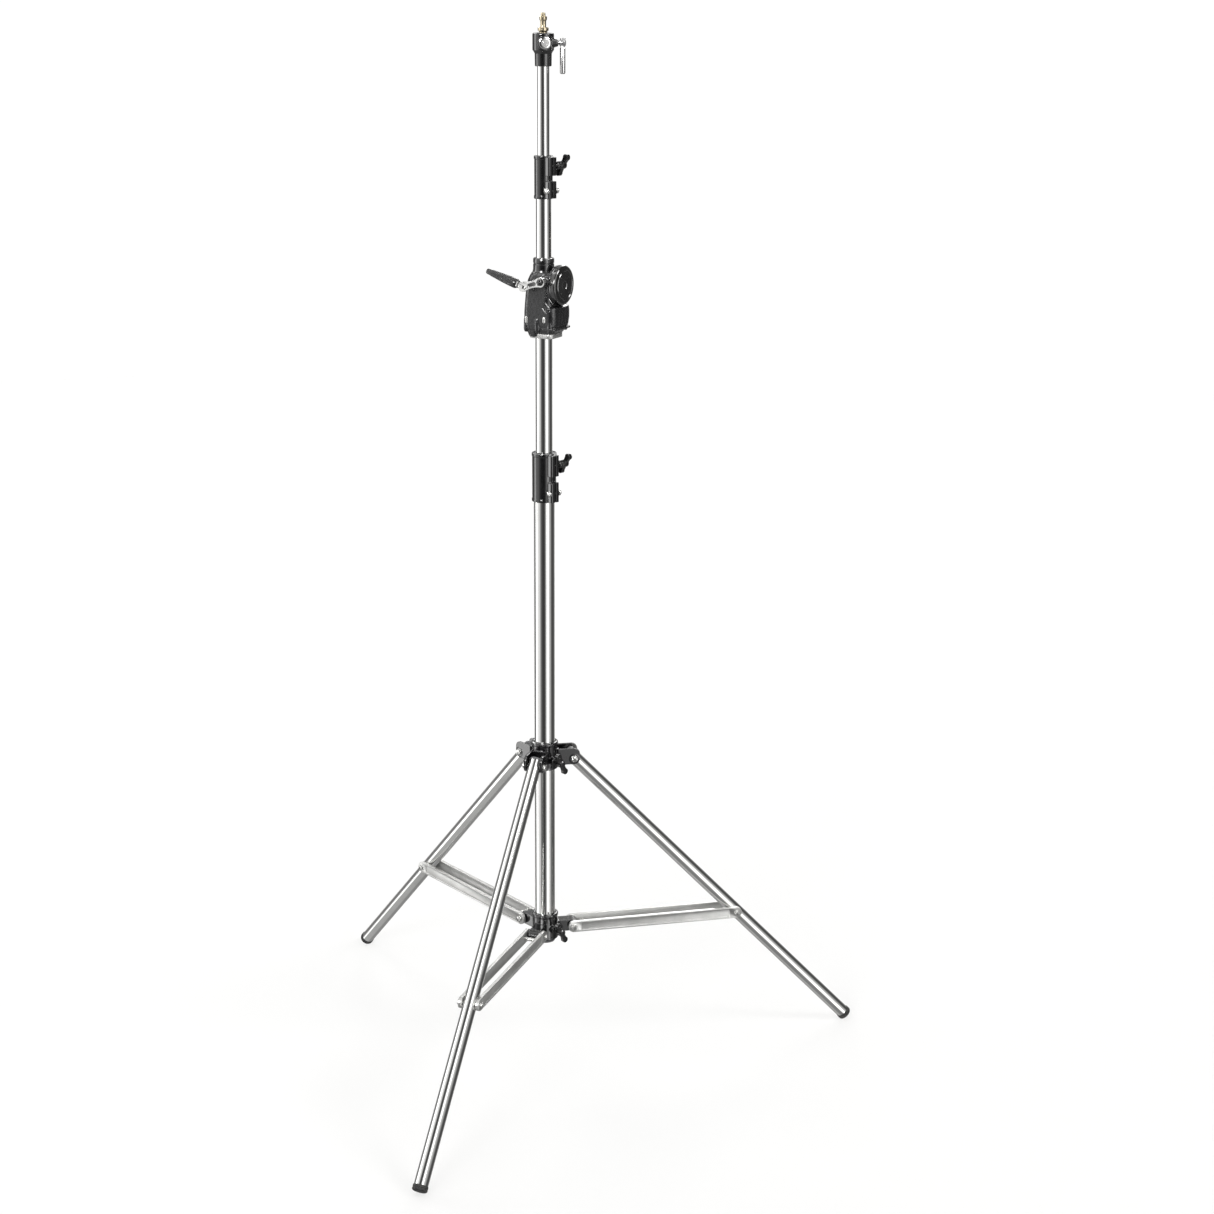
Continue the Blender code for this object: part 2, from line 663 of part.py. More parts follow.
def make_housing(column, winch):
    """The cast winch body: it sits on riser 1, and riser 2 runs through it."""
    # z above the housing's base, left, right, half depth, corner radius
    shape = [
        (0.000, -0.024, 0.036, 0.029, 0.014),
        (0.010, -0.030, 0.044, 0.036, 0.016),
        (0.030, -0.032, 0.047, 0.039, 0.016),
        (0.056, -0.031, 0.047, 0.039, 0.016),
        (0.0585, -0.030, 0.0365, 0.038, 0.014),
        (0.105, -0.026, 0.0365, 0.036, 0.014),
        (0.118, -0.024, 0.032, 0.031, 0.014),
        (0.127, -0.020, 0.028, 0.024, 0.014),
    ]
    sections = [
        (HOUSING_BASE_Z + z, rounded_box_outline(left, right, half, corner))
        for z, left, right, half, corner in shape
    ]
    body = loft("winch_housing", sections, winch, None, CAST_BLACK)
    shaft_frame = crank_frame()
    boss = rod("winch_boss", 0.0120, 0.028, 0.046, winch, shaft_frame, facets=20)
    lower_bore = rod("winch_lower_bore", RISER_1[0] + GAP, 1.600, RISER_1[3] + GAP, column,
                     facets=FACETS)
    upper_bore = rod("winch_upper_bore", RISER_2[0] + GAP, 1.690, 1.800, column, facets=FACETS)
    chamber = rod("winch_chamber", CHAMBER_R, 0.0135, 0.060, winch, along_x(z=COVER_Z), facets=20)
    bearing_bore = rod("winch_bearing_bore", 0.0093, -0.060, 0.060, winch, shaft_frame, facets=16)
    join(body, boss)
    cut(body, lower_bore, upper_bore, chamber, bearing_bore)


def make_winch_shells(column, winch):
    """The round side cover, its screws, the upper guide and the foot flange."""
    inner_x, outer_x = COVER_X
    cup = [
        (0.0, outer_x),
        (0.030, outer_x),
        (0.038, outer_x - 0.0015),
        (COVER_R, outer_x - 0.005),
        (COVER_R, inner_x),
        (0.036, inner_x),
        (0.036, outer_x - 0.0065),
        (0.0, outer_x - 0.0045),
    ]
    lathe("winch_cover", cup, winch, along_x(z=COVER_Z), GLOSS_BLACK, 28)
    upper = [
        (0.0215, 1.8007),
        (0.0223, 1.7990),
        (0.0223, 1.7780),
        (0.0235, HOUSING_TOP_Z + GAP),
        (RISER_2[0] + GAP, HOUSING_TOP_Z + GAP),
        (RISER_2[0] + GAP, 1.8007),
    ]
    lathe("upper_guide", upper, column, None, CAST_BLACK, closed=True)
    flange_outline = rounded_box_outline(-0.023, 0.034, 0.028, 0.013)
    flange = plate("foot_flange", flange_outline, HOUSING_BASE_Z - 0.0105, HOUSING_BASE_Z - GAP,
                   winch, None, SATIN)
    cut(flange, rod("flange_bore", RISER_1[0] + GAP, 1.60, 1.66, column, facets=FACETS))


def make_bearings(winch):
    ring("one_way_clutch", SHAFT_R + GAP, 0.0090, 0.0295, 0.0455, winch, crank_frame(), STEEL,
         SMALL_FACETS + 4)
    ring("rear_bearing", SHAFT_R + GAP, 0.0090, -0.0385, -0.0275, winch, crank_frame(), BRASS,
         SMALL_FACETS + 4)


def make_crank(winch):
    """Shaft, pinion, brake discs, arm, nut and grip, all placed in the crank shaft's frame."""
    axis = empty("crank_axis", winch, crank_frame())
    rod("crank_shaft", SHAFT_R, -0.0385, ARM_SPAN[1], axis, None, STEEL, 16)
    bore = rod("crank_bore", SHAFT_R + GAP, -0.06, ARM_SPAN[1] + 0.02, axis, facets=16)
    pinion = plate("drive_pinion", pinion_outline(), -PINION_WIDTH / 2, PINION_WIDTH / 2, axis, None,
                   STEEL)
    cut(pinion, bore)
    disc = [(0.0092, 0.0225), (0.0105, 0.0212), (0.0105, 0.0186), (0.0092, 0.0173),
            (SHAFT_R + GAP, 0.0173), (SHAFT_R + GAP, 0.0225)]
    lathe("brake_disc", disc, axis, None, NYLON, 20, closed=True)
    toward_end = Matrix.Rotation(math.pi + ARM_DROP, 4, "Z")
    arm = plate("crank_arm", capsule(ARM_LENGTH, ARM_HALF_WIDTH, 8), *ARM_SPAN, axis, toward_end,
                STEEL)
    round_edges = arm.modifiers.new("round", "BEVEL")
    round_edges.width = 0.0012
    round_edges.segments = 1
    nut = [
        (0.0, 0.0066),
        (0.0050, 0.0058),
        (0.0078, 0.0036),
        (0.0085, GAP),
        (0.0, GAP),
    ]
    lathe("crank_nut", nut, axis, shifted(z=ARM_SPAN[1]), STEEL, 16)

    end = Vector((-math.cos(ARM_DROP), -math.sin(ARM_DROP), 0)) * ARM_LENGTH
    end.z = sum(ARM_SPAN) / 2
    along = Vector((-math.cos(GRIP_RISE), math.sin(GRIP_RISE), 0))
    hinge = Vector((0, 0, 1)).cross(along)
    grip_frame = axes_frame(end, hinge, along)
    fork = box("grip_fork", (-0.0033, -0.02, -0.0085), (0.0033, 0.02, 0.03), axis, grip_frame)
    pin_hole = rod("grip_pin_hole", 0.0025, -0.03, 0.03, axis, grip_frame @ along_x())
    cut(arm, bore, fork, pin_hole)
    rod("grip_pin", 0.0022, -0.0085, 0.0085, axis, grip_frame @ along_x(), STEEL)
    make_grip(empty("grip_axis", axis, grip_frame))


def make_grip(axis):
    """A tongue that folds in the arm's fork, and a tapered grip that spins on its spindle."""
    spindle = [
        (0.0, GRIP_END - 0.004),
        (SPINDLE_R, GRIP_END - 0.004),
        (SPINDLE_R, GRIP_START - GAP),
        (0.0075, GRIP_START - GAP),
        (0.0080, GRIP_START - 0.0035),
        (0.0, GRIP_START - 0.0035),
    ]
    body = lathe("grip_spindle", spindle, axis, None, STEEL, 16)
    flat = Matrix.Rotation(math.radians(-90), 4, "Y")
    tongue = plate("grip_tongue", capsule(0.0085, 0.0058), -0.0030, 0.0030, axis, flat)
    join(body, tongue)
    cut(body, rod("tongue_hole", 0.0025, -0.02, 0.02, axis, along_x()))
    hole = SPINDLE_R + GAP
    outer = [
        (hole + 0.0006, GRIP_END),
        (GRIP_TIP_R - 0.0015, GRIP_END),
        (GRIP_TIP_R, GRIP_END - 0.003),
        (0.0078, GRIP_END - 0.034),
        (0.0098, GRIP_START + 0.014),
        (GRIP_ROOT_R, GRIP_START + 0.004),
        (GRIP_ROOT_R - 0.001, GRIP_START),
        (hole, GRIP_START),
        (hole, GRIP_END - 0.006),
    ]
    lathe("crank_grip", outer, axis, None, NYLON, 20, closed=True)


# ---------------------------------------------------------------- top fitting


def make_top(column):
    low, shoulder, rim = SOCKET_Z
    sleeve_r, head_r = SOCKET_R
    tube_r = RISER_3[0] + GAP
    tube_top = RISER_3[3] + GAP
    stem_r = SPIGOT_STEM_R + GAP
    profile = [
        (head_r - 0.004, rim),
        (head_r, rim - 0.004),
        (head_r, shoulder + 0.006),
        (sleeve_r + 0.001, shoulder),
        (sleeve_r, shoulder - 0.001),
        (sleeve_r, low),
        (tube_r, low),
        (tube_r, tube_top),
        (stem_r, tube_top),
        (stem_r, rim),
    ]
    socket = lathe("top_socket", profile, column, None, CAST_BLACK, closed=True)
    lock_frame = turned_about_z(LOCK_TURN) @ along_x(z=LOCK_Z)
    boss_profile = [(0.0, 0.031), (0.0065, 0.031), (0.0105, 0.020), (0.0105, 0.012), (0.0, 0.012)]
    boss = lathe("lock_boss", boss_profile, column, lock_frame, facets=16)
    screw_hole = rod("lock_hole", 0.0039, 0.002, 0.040, column, lock_frame)
    join(socket, boss)
    cut(socket, screw_hole)
    face_frame = turned_about_z(BOSS_SCREW_TURN) @ along_x(z=LOCK_Z)
    seat = rod("boss_screw_seat", BOSS_SCREW_R + GAP, 0.0195, 0.030, column, face_frame, facets=20)
    cut(socket, seat)
    rim_r = BOSS_SCREW_R
    button = [(0.0, 0.0248), (rim_r - 0.002, 0.0240), (rim_r, 0.0220), (rim_r, 0.0198), (0.0, 0.0198)]
    lathe("boss_screw", button, column, face_frame, STEEL, 20)

    axis = empty("lock_axis", column, lock_frame)
    screw = [
        (0.0, LEVER_R + 0.0065),
        (0.0060, LEVER_R + 0.0065),
        (0.0072, LEVER_R + 0.0045),
        (0.0072, LEVER_R - 0.0055),
        (0.0035, LEVER_R - 0.0070),
        (0.0035, SPIGOT_STEM_R + 0.0006),
        (0.0, SPIGOT_STEM_R + 0.0006),
    ]
    hub = lathe("lock_screw", screw, axis, None, STEEL, 16)
    lever_frame = shifted(z=LEVER_R) @ Matrix.Rotation(math.radians(-90), 4, "Y")
    low_end, high_end = LEVER_SPAN
    cut(hub, rod("lever_hole", 0.0042, -0.03, 0.03, axis, lever_frame))
    bar = [
        (0.0, high_end),
        (0.0040, high_end),
        (0.0058, high_end - 0.0012),
        (0.0058, high_end - 0.0030),
        (0.0039, 0.0074),
        (0.0039, -0.0074),
        (0.0058, -0.0110),
        (0.0058, low_end + 0.002),
        (0.0045, low_end),
        (0.0, low_end),
    ]
    lathe("lock_lever", bar, axis, lever_frame, STEEL, 16)

    top, seat_z = SPIGOT_TOP_Z, SPIGOT_SEAT_Z
    spigot = [
        (0.0, top),
        (0.0040, top),
        (0.0048, top - 0.001),
        (0.0048, top - 0.007),
        (0.0070, top - 0.007),
        (0.0079, top - 0.008),
        (0.0079, top - 0.014),
        (0.0060, top - 0.017),
        (0.0060, seat_z),
        (0.0112, seat_z),
        (0.0112, seat_z - 0.007),
        (SPIGOT_STEM_R, seat_z - 0.009),
        (SPIGOT_STEM_R, SOCKET_FLOOR_Z),
        (0.0, SOCKET_FLOOR_Z),
    ]
    lathe("spigot", spigot, column, None, BRASS, 20)


# ---------------------------------------------------------------- assembly


def foot_reach(turn):
    """How far a foot reaches from the column in a direction this many degrees from its leg's."""
    share = math.cos(math.radians(turn))
    lean = math.sin(LEG_ANGLE) * share
    edge_centre = (foot_end() - FOOT_EDGE) * lean + (FOOT_R - FOOT_EDGE) * math.sqrt(1 - lean**2)
    return PIVOT_R * share + edge_centre + FOOT_EDGE


def column_y():
    """Puts the origin in the middle of the feet's box: one leg forward, two legs half as far back."""
    return (foot_reach(0) - foot_reach(90 - SPOKES["right"])) / 2


COLUMN = empty("column", None, shifted(y=column_y()))
WINCH = empty("winch", COLUMN, turned_about_z(WINCH_TURN))
FLOOR = box("floor_cutter", (-1.0, -1.0, -0.1), (1.0, 1.0, 0.0))

make_base(COLUMN)
make_collar("collar_1", COLLAR_1, BASE_TUBE, COLUMN)
make_riser_1(COLUMN)
make_riser_2(COLUMN, WINCH)
make_collar("collar_2", COLLAR_2, RISER_2, COLUMN)
make_riser_3(COLUMN, WINCH)
CLEVIS = LEG_R + SIDE_CLEARANCE
make_spider("upper_spider", LEG_PIVOT_Z, UPPER_HUB,
            [(-CLEVIS - EAR_THICKNESS, -CLEVIS), (CLEVIS, CLEVIS + EAR_THICKNESS)],
            UPPER_EAR_TOP, CLEVIS + EAR_THICKNESS + GAP, COLUMN)
make_spider("lower_spider", BRACE_PIVOT_Z, LOWER_HUB, [(-LEG_R, LEG_R)],
            EAR_R, CLEVIS + BAR_WIDTH + GAP, COLUMN)
for spoke_name in SPOKES:
    make_leg(spoke_name, COLUMN)
    make_brace(spoke_name, COLUMN)
make_housing(COLUMN, WINCH)
make_winch_shells(COLUMN, WINCH)
make_bearings(WINCH)
make_crank(WINCH)
make_top(COLUMN)
for part in PARTS.objects:
    smooth(part)
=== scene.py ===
"""Looks for the crank lighting stand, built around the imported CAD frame.

Tubes and other turned parts get fine versions with turned edges. Castings are rebuilt from smooth
solids, which a voxel remesh joins and rounds as a mould would. Sizes come from the frame: from the
CAD nodes' boxes and vertices, and from the joints' places and axes. All lengths are in metres.
"""

import json
import math

import bmesh
import bpy
import numpy as np
from mathutils import Matrix, Vector

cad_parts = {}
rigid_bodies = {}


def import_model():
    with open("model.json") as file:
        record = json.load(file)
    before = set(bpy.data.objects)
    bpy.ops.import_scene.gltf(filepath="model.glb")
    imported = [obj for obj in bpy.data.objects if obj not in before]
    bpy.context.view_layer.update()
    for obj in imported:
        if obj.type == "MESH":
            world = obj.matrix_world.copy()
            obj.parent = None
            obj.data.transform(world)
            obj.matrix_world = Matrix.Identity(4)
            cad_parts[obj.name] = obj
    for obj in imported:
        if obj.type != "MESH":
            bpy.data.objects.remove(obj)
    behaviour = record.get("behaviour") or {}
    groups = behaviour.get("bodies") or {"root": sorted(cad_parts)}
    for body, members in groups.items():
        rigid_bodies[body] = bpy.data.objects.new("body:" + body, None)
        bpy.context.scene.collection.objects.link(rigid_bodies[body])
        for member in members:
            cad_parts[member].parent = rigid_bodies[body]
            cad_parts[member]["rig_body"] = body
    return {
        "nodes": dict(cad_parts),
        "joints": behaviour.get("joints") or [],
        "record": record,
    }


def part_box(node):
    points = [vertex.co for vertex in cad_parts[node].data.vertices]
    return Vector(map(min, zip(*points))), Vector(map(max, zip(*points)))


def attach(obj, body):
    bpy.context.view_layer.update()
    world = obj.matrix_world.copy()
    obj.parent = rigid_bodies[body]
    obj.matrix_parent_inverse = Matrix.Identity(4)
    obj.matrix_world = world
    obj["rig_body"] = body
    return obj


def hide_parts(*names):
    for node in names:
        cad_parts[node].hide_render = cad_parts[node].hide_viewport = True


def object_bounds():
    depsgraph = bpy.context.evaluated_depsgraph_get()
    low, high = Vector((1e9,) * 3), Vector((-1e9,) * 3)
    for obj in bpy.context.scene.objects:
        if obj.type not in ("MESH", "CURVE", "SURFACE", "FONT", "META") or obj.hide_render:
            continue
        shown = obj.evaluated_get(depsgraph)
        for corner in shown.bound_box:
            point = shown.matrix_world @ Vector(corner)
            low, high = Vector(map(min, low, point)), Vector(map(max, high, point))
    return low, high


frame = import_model()
CAD_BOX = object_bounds()

NODES = frame["nodes"]
JOINTS = {joint["name"]: joint for joint in frame["joints"]}
SIDES = ("front", "right", "left")
UP = Vector((0, 0, 1))

# Facets around turned pieces.
ROUND = 96
SMALL_ROUND = 40

# The camera, from the column's axis.
CAMERA_DISTANCE = 4.759
CAMERA_AZIMUTH = math.radians(20.84)  # to the right of straight in front
CAMERA_HEIGHT = 2.415
CAMERA_YAW = math.radians(1.64)  # the view passes this far to the right of the column
CAMERA_PITCH = math.radians(16.09)  # below level
CAMERA_ROLL = math.radians(0.33)
CAMERA_LENS = 67.43
CAMERA_SENSOR = 36.0

# Sizes that the CAD nodes' boxes don't give.
SLIDE_GAP = 0.0004  # between a tube and what slides on it or holds it
TUBE_WALL = 0.0015
UPPER_EAR_TOP = 0.024  # above the legs' pivots
FOOT_LENGTH = 0.012
BRACE_GAP = 0.0155  # from a brace's middle to its bars
GROOVE_DEPTH = 0.0022  # along the braces' outer faces
GROOVE_HALF_WIDTH = 0.0088
GROOVE_START = 0.017  # from the bolts at a brace's ends

# Bolts: width across the flats, head with its washer, and the washer's radius.
PIVOT_BOLT = (0.0115, 0.005, 0.0072)
BRACE_BOLT = (0.0100, 0.0045, 0.0062)
COLLAR_BOLT = (0.0110, 0.005, 0.0066)
BOLT_SHANK = 0.0038
WASHER = 0.0012


# ---------------------------------------------------------------- reading the frame


def points_of(node):
    return np.array([vertex.co for vertex in NODES[node].data.vertices], float)


def middle_of(node):
    low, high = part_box(node)
    return (low + high) / 2


def joint_place(name):
    """A hinge's point and its axis."""
    joint = JOINTS[name]
    return Vector(joint["pos_m"]), Vector(joint["axis"]).normalized()


def axis_frame(origin, z_axis, x_hint=None):
    """A frame at a point with the given z axis. Its x axis is as near x_hint as it can be."""
    z_axis = z_axis.normalized()
    if x_hint is None:
        x_hint = Vector((1, 0, 0)) if abs(z_axis.x) < 0.9 else Vector((0, 1, 0))
    x_axis = (x_hint - z_axis * x_hint.dot(z_axis)).normalized()
    y_axis = z_axis.cross(x_axis)
    matrix = Matrix((x_axis, y_axis, z_axis)).transposed().to_4x4()
    matrix.translation = origin
    return matrix


def local_points(node, matrix):
    inverse = np.array(matrix.inverted())
    return points_of(node) @ inverse[:3, :3].T + inverse[:3, 3]


def measure(node, matrix):
    """A turned node in its own frame: its low and high ends and its smallest and largest radius."""
    local = local_points(node, matrix)
    radii = np.hypot(local[:, 0], local[:, 1])
    return local[:, 2].min(), local[:, 2].max(), radii.min(), radii.max()


def bore_for(tube):
    """The radius and the height of a bore that a tube of the column goes into."""
    _, high, _, outer = measure(tube, COLUMN_FRAME)
    return outer + SLIDE_GAP, high + SLIDE_GAP


COLUMN = middle_of("base_tube")
COLUMN.z = 0
COLUMN_FRAME = Matrix.Translation(COLUMN)
CRANK_POINT, TO_FRONT = joint_place("crank_turn")
WINCH_X = TO_FRONT.cross(UP) * -1
WINCH_FRAME = axis_frame(COLUMN, UP, WINCH_X)
PINION_FRAME = axis_frame(CRANK_POINT, TO_FRONT)


# ---------------------------------------------------------------- making meshes


def put(name, data):
    thing = bpy.data.objects.new(name, data)
    bpy.context.scene.collection.objects.link(thing)
    return thing


def add_piece(name, mesh, matrix=None):
    mesh.name = name
    piece = put(name, mesh)
    if matrix is not None:
        mesh.transform(matrix)
    return piece


def soften(mesh, angle=35):
    mesh.shade_smooth()
    mesh.set_sharp_from_angle(angle=math.radians(angle))


def to_mesh(shape):
    mesh = bpy.data.meshes.new("solid")
    shape.to_mesh(mesh)
    shape.free()
    return mesh


def closed(shape):
    """The mesh of a closed solid, with its faces turned outward."""
    bmesh.ops.recalc_face_normals(shape, faces=shape.faces)
    return to_mesh(shape)


def joined(solids):
    """Several solids in one mesh."""
    shape = bmesh.new()
    for solid in solids:
        shape.from_mesh(solid)
    return to_mesh(shape)


def turned_mesh(profile, facets=ROUND, hollow=False):
    """A profile of (radius, z) turned about z, from the top down. A hollow one closes on itself."""
    shape = bmesh.new()
    rows = []
    for radius, z in profile:
        if radius < 1e-7:
            rows.append([shape.verts.new((0, 0, z))])
            continue
        turns = [2 * math.pi * k / facets for k in range(facets)]
        rows.append([shape.verts.new((radius * math.cos(t), radius * math.sin(t), z)) for t in turns])
    pairs = list(zip(rows, rows[1:]))
    if hollow:
        pairs.append((rows[-1], rows[0]))
    for upper, lower in pairs:
        for k in range(facets):
            n = (k + 1) % facets
            ring = ((upper, k), (lower, k), (lower, n), (upper, n))
            corners = list(dict.fromkeys(row[place % len(row)] for row, place in ring))
            if len(corners) > 2:
                shape.faces.new(corners)
    mesh = closed(shape)
    soften(mesh)
    return mesh


def arc(x, y, radius, start, end, steps):
    """Points on an arc, from one angle to another in degrees, both ends included."""
    angles = [math.radians(start + (end - start) * k / steps) for k in range(steps + 1)]
    return [(x + radius * math.cos(a), y + radius * math.sin(a)) for a in angles]


def mm(base, *points):
    """Profile points in millimetres, with heights from a base that is in metres."""
    return [(radius / 1000, base + height / 1000) for radius, height in points]


def tube_profile(inner, outer, low, high, edge=0.0004):
    """A tube's wall with its sharp corners broken."""
    return [
        (outer - edge, high), (outer, high - edge), (outer, low + edge), (outer - edge, low),
        (inner + edge, low), (inner, low + edge), (inner, high - edge), (inner + edge, high),
    ]


def extruded_mesh(outline, low, high):
    """A flat outline in x and y with straight walls from low to high."""
    shape = bmesh.new()
    face = shape.faces.new([shape.verts.new((x, y, low)) for x, y in outline])
    walls = bmesh.ops.extrude_face_region(shape, geom=[face], use_keep_orig=True)
    raised = [item for item in walls["geom"] if isinstance(item, bmesh.types.BMVert)]
    bmesh.ops.translate(shape, vec=(0, 0, high - low), verts=raised)
    return closed(shape)


def box_mesh(low, high):
    (x0, y0, z0), (x1, y1, z1) = low, high
    return extruded_mesh([(x0, y0), (x1, y0), (x1, y1), (x0, y1)], z0, z1)


def rotation(axis, degrees):
    return Matrix.Rotation(math.radians(degrees), 4, axis)


def moved(mesh, matrix):
    mesh.transform(matrix)
    return mesh


def apply_modifiers(piece):
    bpy.context.view_layer.update()
    graph = bpy.context.evaluated_depsgraph_get()
    mesh = bpy.data.meshes.new_from_object(piece.evaluated_get(graph))
    piece.modifiers.clear()
    old, piece.data = piece.data, mesh
    bpy.data.meshes.remove(old)
    return piece


def bevelled(piece, width, segments=3, angle=30):
    change = piece.modifiers.new("edges", "BEVEL")
    change.width = width
    change.segments = segments
    change.limit_method = "ANGLE"
    change.angle_limit = math.radians(angle)
    change.harden_normals = True
    apply_modifiers(piece)
    soften(piece.data, 40)
    return piece


def cut(piece, *meshes):
    """Takes solids out of a piece."""
    for mesh in meshes:
        tool = put("tool", mesh)
        change = piece.modifiers.new("cut", "BOOLEAN")
        change.object = tool
        change.solver = "EXACT"
        apply_modifiers(piece)
        bpy.data.objects.remove(tool)
    return piece


def cast(name, solids, voxel, rounds, keep=0.4, matrix=None):
    """Overlapping solids joined into one rounded casting."""
    piece = add_piece(name, joined(solids), matrix)
    skin = piece.modifiers.new("skin", "REMESH")
    skin.mode = "VOXEL"
    skin.voxel_size = voxel
    rounding = piece.modifiers.new("rounding", "SMOOTH")
    rounding.factor = 0.5
    rounding.iterations = rounds
    if keep < 1:
        fewer = piece.modifiers.new("fewer", "DECIMATE")
        fewer.ratio = keep
    apply_modifiers(piece)
    piece.data.shade_smooth()
    return piece


# ---------------------------------------------------------------- materials


class Finish:
    """A material's node tree, with short calls for the nodes that the finishes share."""

    def __init__(self, name):
        self.material = bpy.data.materials.new(name)
        self.material.use_nodes = True
        self.nodes = self.material.node_tree.nodes
        self.links = self.material.node_tree.links
        self.shader = self.nodes["Principled BSDF"]
        self.place = self.nodes.new("ShaderNodeTexCoord").outputs["Object"]

    def set(self, **values):
        for name, value in values.items():
            self.shader.inputs[name.replace("_", " ")].default_value = value
        return self

    def link(self, output, name):
        self.links.new(output, self.shader.inputs[name])

    def stretched(self, scale):
        """The place on the object, scaled differently along each axis."""
        mapping = self.nodes.new("ShaderNodeMapping")
        mapping.inputs["Scale"].default_value = scale
        self.links.new(self.place, mapping.inputs["Vector"])
        return mapping.outputs["Vector"]

    def noise(self, scale, detail=4.0, roughness=0.55, place=None):
        node = self.nodes.new("ShaderNodeTexNoise")
        node.inputs["Scale"].default_value = scale
        node.inputs["Detail"].default_value = detail
        node.inputs["Roughness"].default_value = roughness
        self.links.new(place or self.place, node.inputs["Vector"])
        return node.outputs["Fac"]

    def between(self, value, low, high, start=0.3, end=0.7):
        """A value mapped so that start to end becomes low to high."""
        node = self.nodes.new("ShaderNodeMapRange")
        node.inputs["From Min"].default_value = start
        node.inputs["From Max"].default_value = end
        node.inputs["To Min"].default_value = low
        node.inputs["To Max"].default_value = high
        self.links.new(value, node.inputs["Value"])
        return node.outputs["Result"]

    def times(self, first, second):
        node = self.nodes.new("ShaderNodeMath")
        node.operation = "MULTIPLY"
        for socket, value in zip(node.inputs, (first, second)):
            if isinstance(value, float):
                socket.default_value = value
            else:
                self.links.new(value, socket)
        return node.outputs[0]

    def mixed(self, share, first, second):
        """One colour at a share of 0 and the other at 1."""
        node = self.nodes.new("ShaderNodeMix")
        node.data_type = "RGBA"
        sockets = {socket.identifier: socket for socket in node.inputs}
        self.links.new(share, sockets["Factor_Float"])
        for name, colour in (("A_Color", first), ("B_Color", second)):
            if isinstance(colour, tuple):
                sockets[name].default_value = (*colour, 1.0)
            else:
                self.links.new(colour, sockets[name])
        return next(s for s in node.outputs if s.identifier == "Result_Color")

    def colour(self, value, first, second, start=0.3, end=0.7):
        share = self.between(value, 0.0, 1.0, start, end)
        self.link(self.mixed(share, first, second), "Base Color")

    def rough(self, value, low, high):
        self.link(self.between(value, low, high), "Roughness")

    def edges(self, start=0.52, end=0.60):
        """1 on worn outer edges and 0 elsewhere."""
        geometry = self.nodes.new("ShaderNodeNewGeometry")
        return self.between(geometry.outputs["Pointiness"], 0.0, 1.0, start, end)

    def bump(self, height, strength, distance):
        node = self.nodes.new("ShaderNodeBump")
        node.inputs["Strength"].default_value = strength
        node.inputs["Distance"].default_value = distance
        self.links.new(height, node.inputs["Height"])
        self.links.new(node.outputs["Normal"], self.shader.inputs["Normal"])


def make_chrome(name="chrome_plate", tint=(0.80, 0.80, 0.79), rough=(0.07, 0.16)):
    """Bright plate with faint handling marks and drawing lines along the tube."""
    f = Finish(name).set(Metallic=1.0)
    smudges = f.noise(9.0, 6.0, 0.65)
    lines = f.noise(60.0, 2.0, 0.5, f.stretched((14.0, 14.0, 0.35)))
    f.rough(smudges, *rough)
    dull = tuple(0.88 * channel for channel in tint)
    f.colour(smudges, tint, dull, 0.45, 0.75)
    f.bump(lines, 0.10, 0.00012)
    return f.material


def make_satin():
    """Matt zinc-grey bars, brushed along their length."""
    f = Finish("satin_bar").set(Metallic=0.9)
    blotches = f.noise(26.0, 5.0, 0.6)
    grain = f.noise(700.0, 3.0, 0.6)
    f.rough(grain, 0.34, 0.50)
    f.colour(blotches, (0.56, 0.56, 0.55), (0.44, 0.44, 0.43))
    f.bump(grain, 0.22, 0.00015)
    return f.material


def make_zinc():
    """Plated fasteners, a little uneven."""
    f = Finish("zinc_plate").set(Metallic=1.0)
    spots = f.noise(120.0, 4.0, 0.6)
    f.rough(spots, 0.18, 0.34)
    f.colour(spots, (0.74, 0.74, 0.72), (0.56, 0.56, 0.55))
    f.bump(spots, 0.12, 0.0002)
    return f.material


def make_cut_steel():
    """Machined teeth with a film of grease."""
    f = Finish("cut_steel").set(Metallic=1.0)
    marks = f.noise(900.0, 2.0, 0.5, f.stretched((1.0, 1.0, 0.1)))
    film = f.noise(45.0, 5.0, 0.6)
    f.rough(film, 0.22, 0.46)
    f.colour(film, (0.50, 0.49, 0.47), (0.30, 0.28, 0.25))
    f.bump(marks, 0.2, 0.0002)
    return f.material


def make_casting(name, base, rough, grain_scale, grain_depth, wear, index=1.85):
    """Semi-gloss black paint over a sand-textured casting, rubbed thin on its outer edges."""
    f = Finish(name).set(Metallic=0.0, IOR=index)
    grain = f.noise(grain_scale, 3.0, 0.6)
    patches = f.noise(55.0, 5.0, 0.65)
    light = tuple(1.9 * channel for channel in base)
    paint = f.mixed(f.between(patches, 0.0, 1.0), base, light)
    rubbed = f.times(f.edges(), f.between(patches, 0.0, wear, 0.42, 0.62))
    f.link(f.mixed(rubbed, paint, (0.30, 0.30, 0.29)), "Base Color")
    f.rough(patches, *rough)
    f.bump(grain, 0.55, grain_depth)
    return f.material


def make_gloss_black():
    """Deep stove enamel with orange peel so slight that only its highlights show it."""
    f = Finish("gloss_enamel").set(Metallic=0.0, IOR=1.9, Coat_Weight=0.6, Coat_Roughness=0.06)
    peel = f.noise(420.0, 2.0, 0.5)
    dust = f.noise(38.0, 6.0, 0.7)
    f.rough(dust, 0.10, 0.24)
    f.colour(dust, (0.003, 0.003, 0.003), (0.009, 0.009, 0.009), 0.4, 0.8)
    f.bump(peel, 0.10, 0.0002)
    return f.material


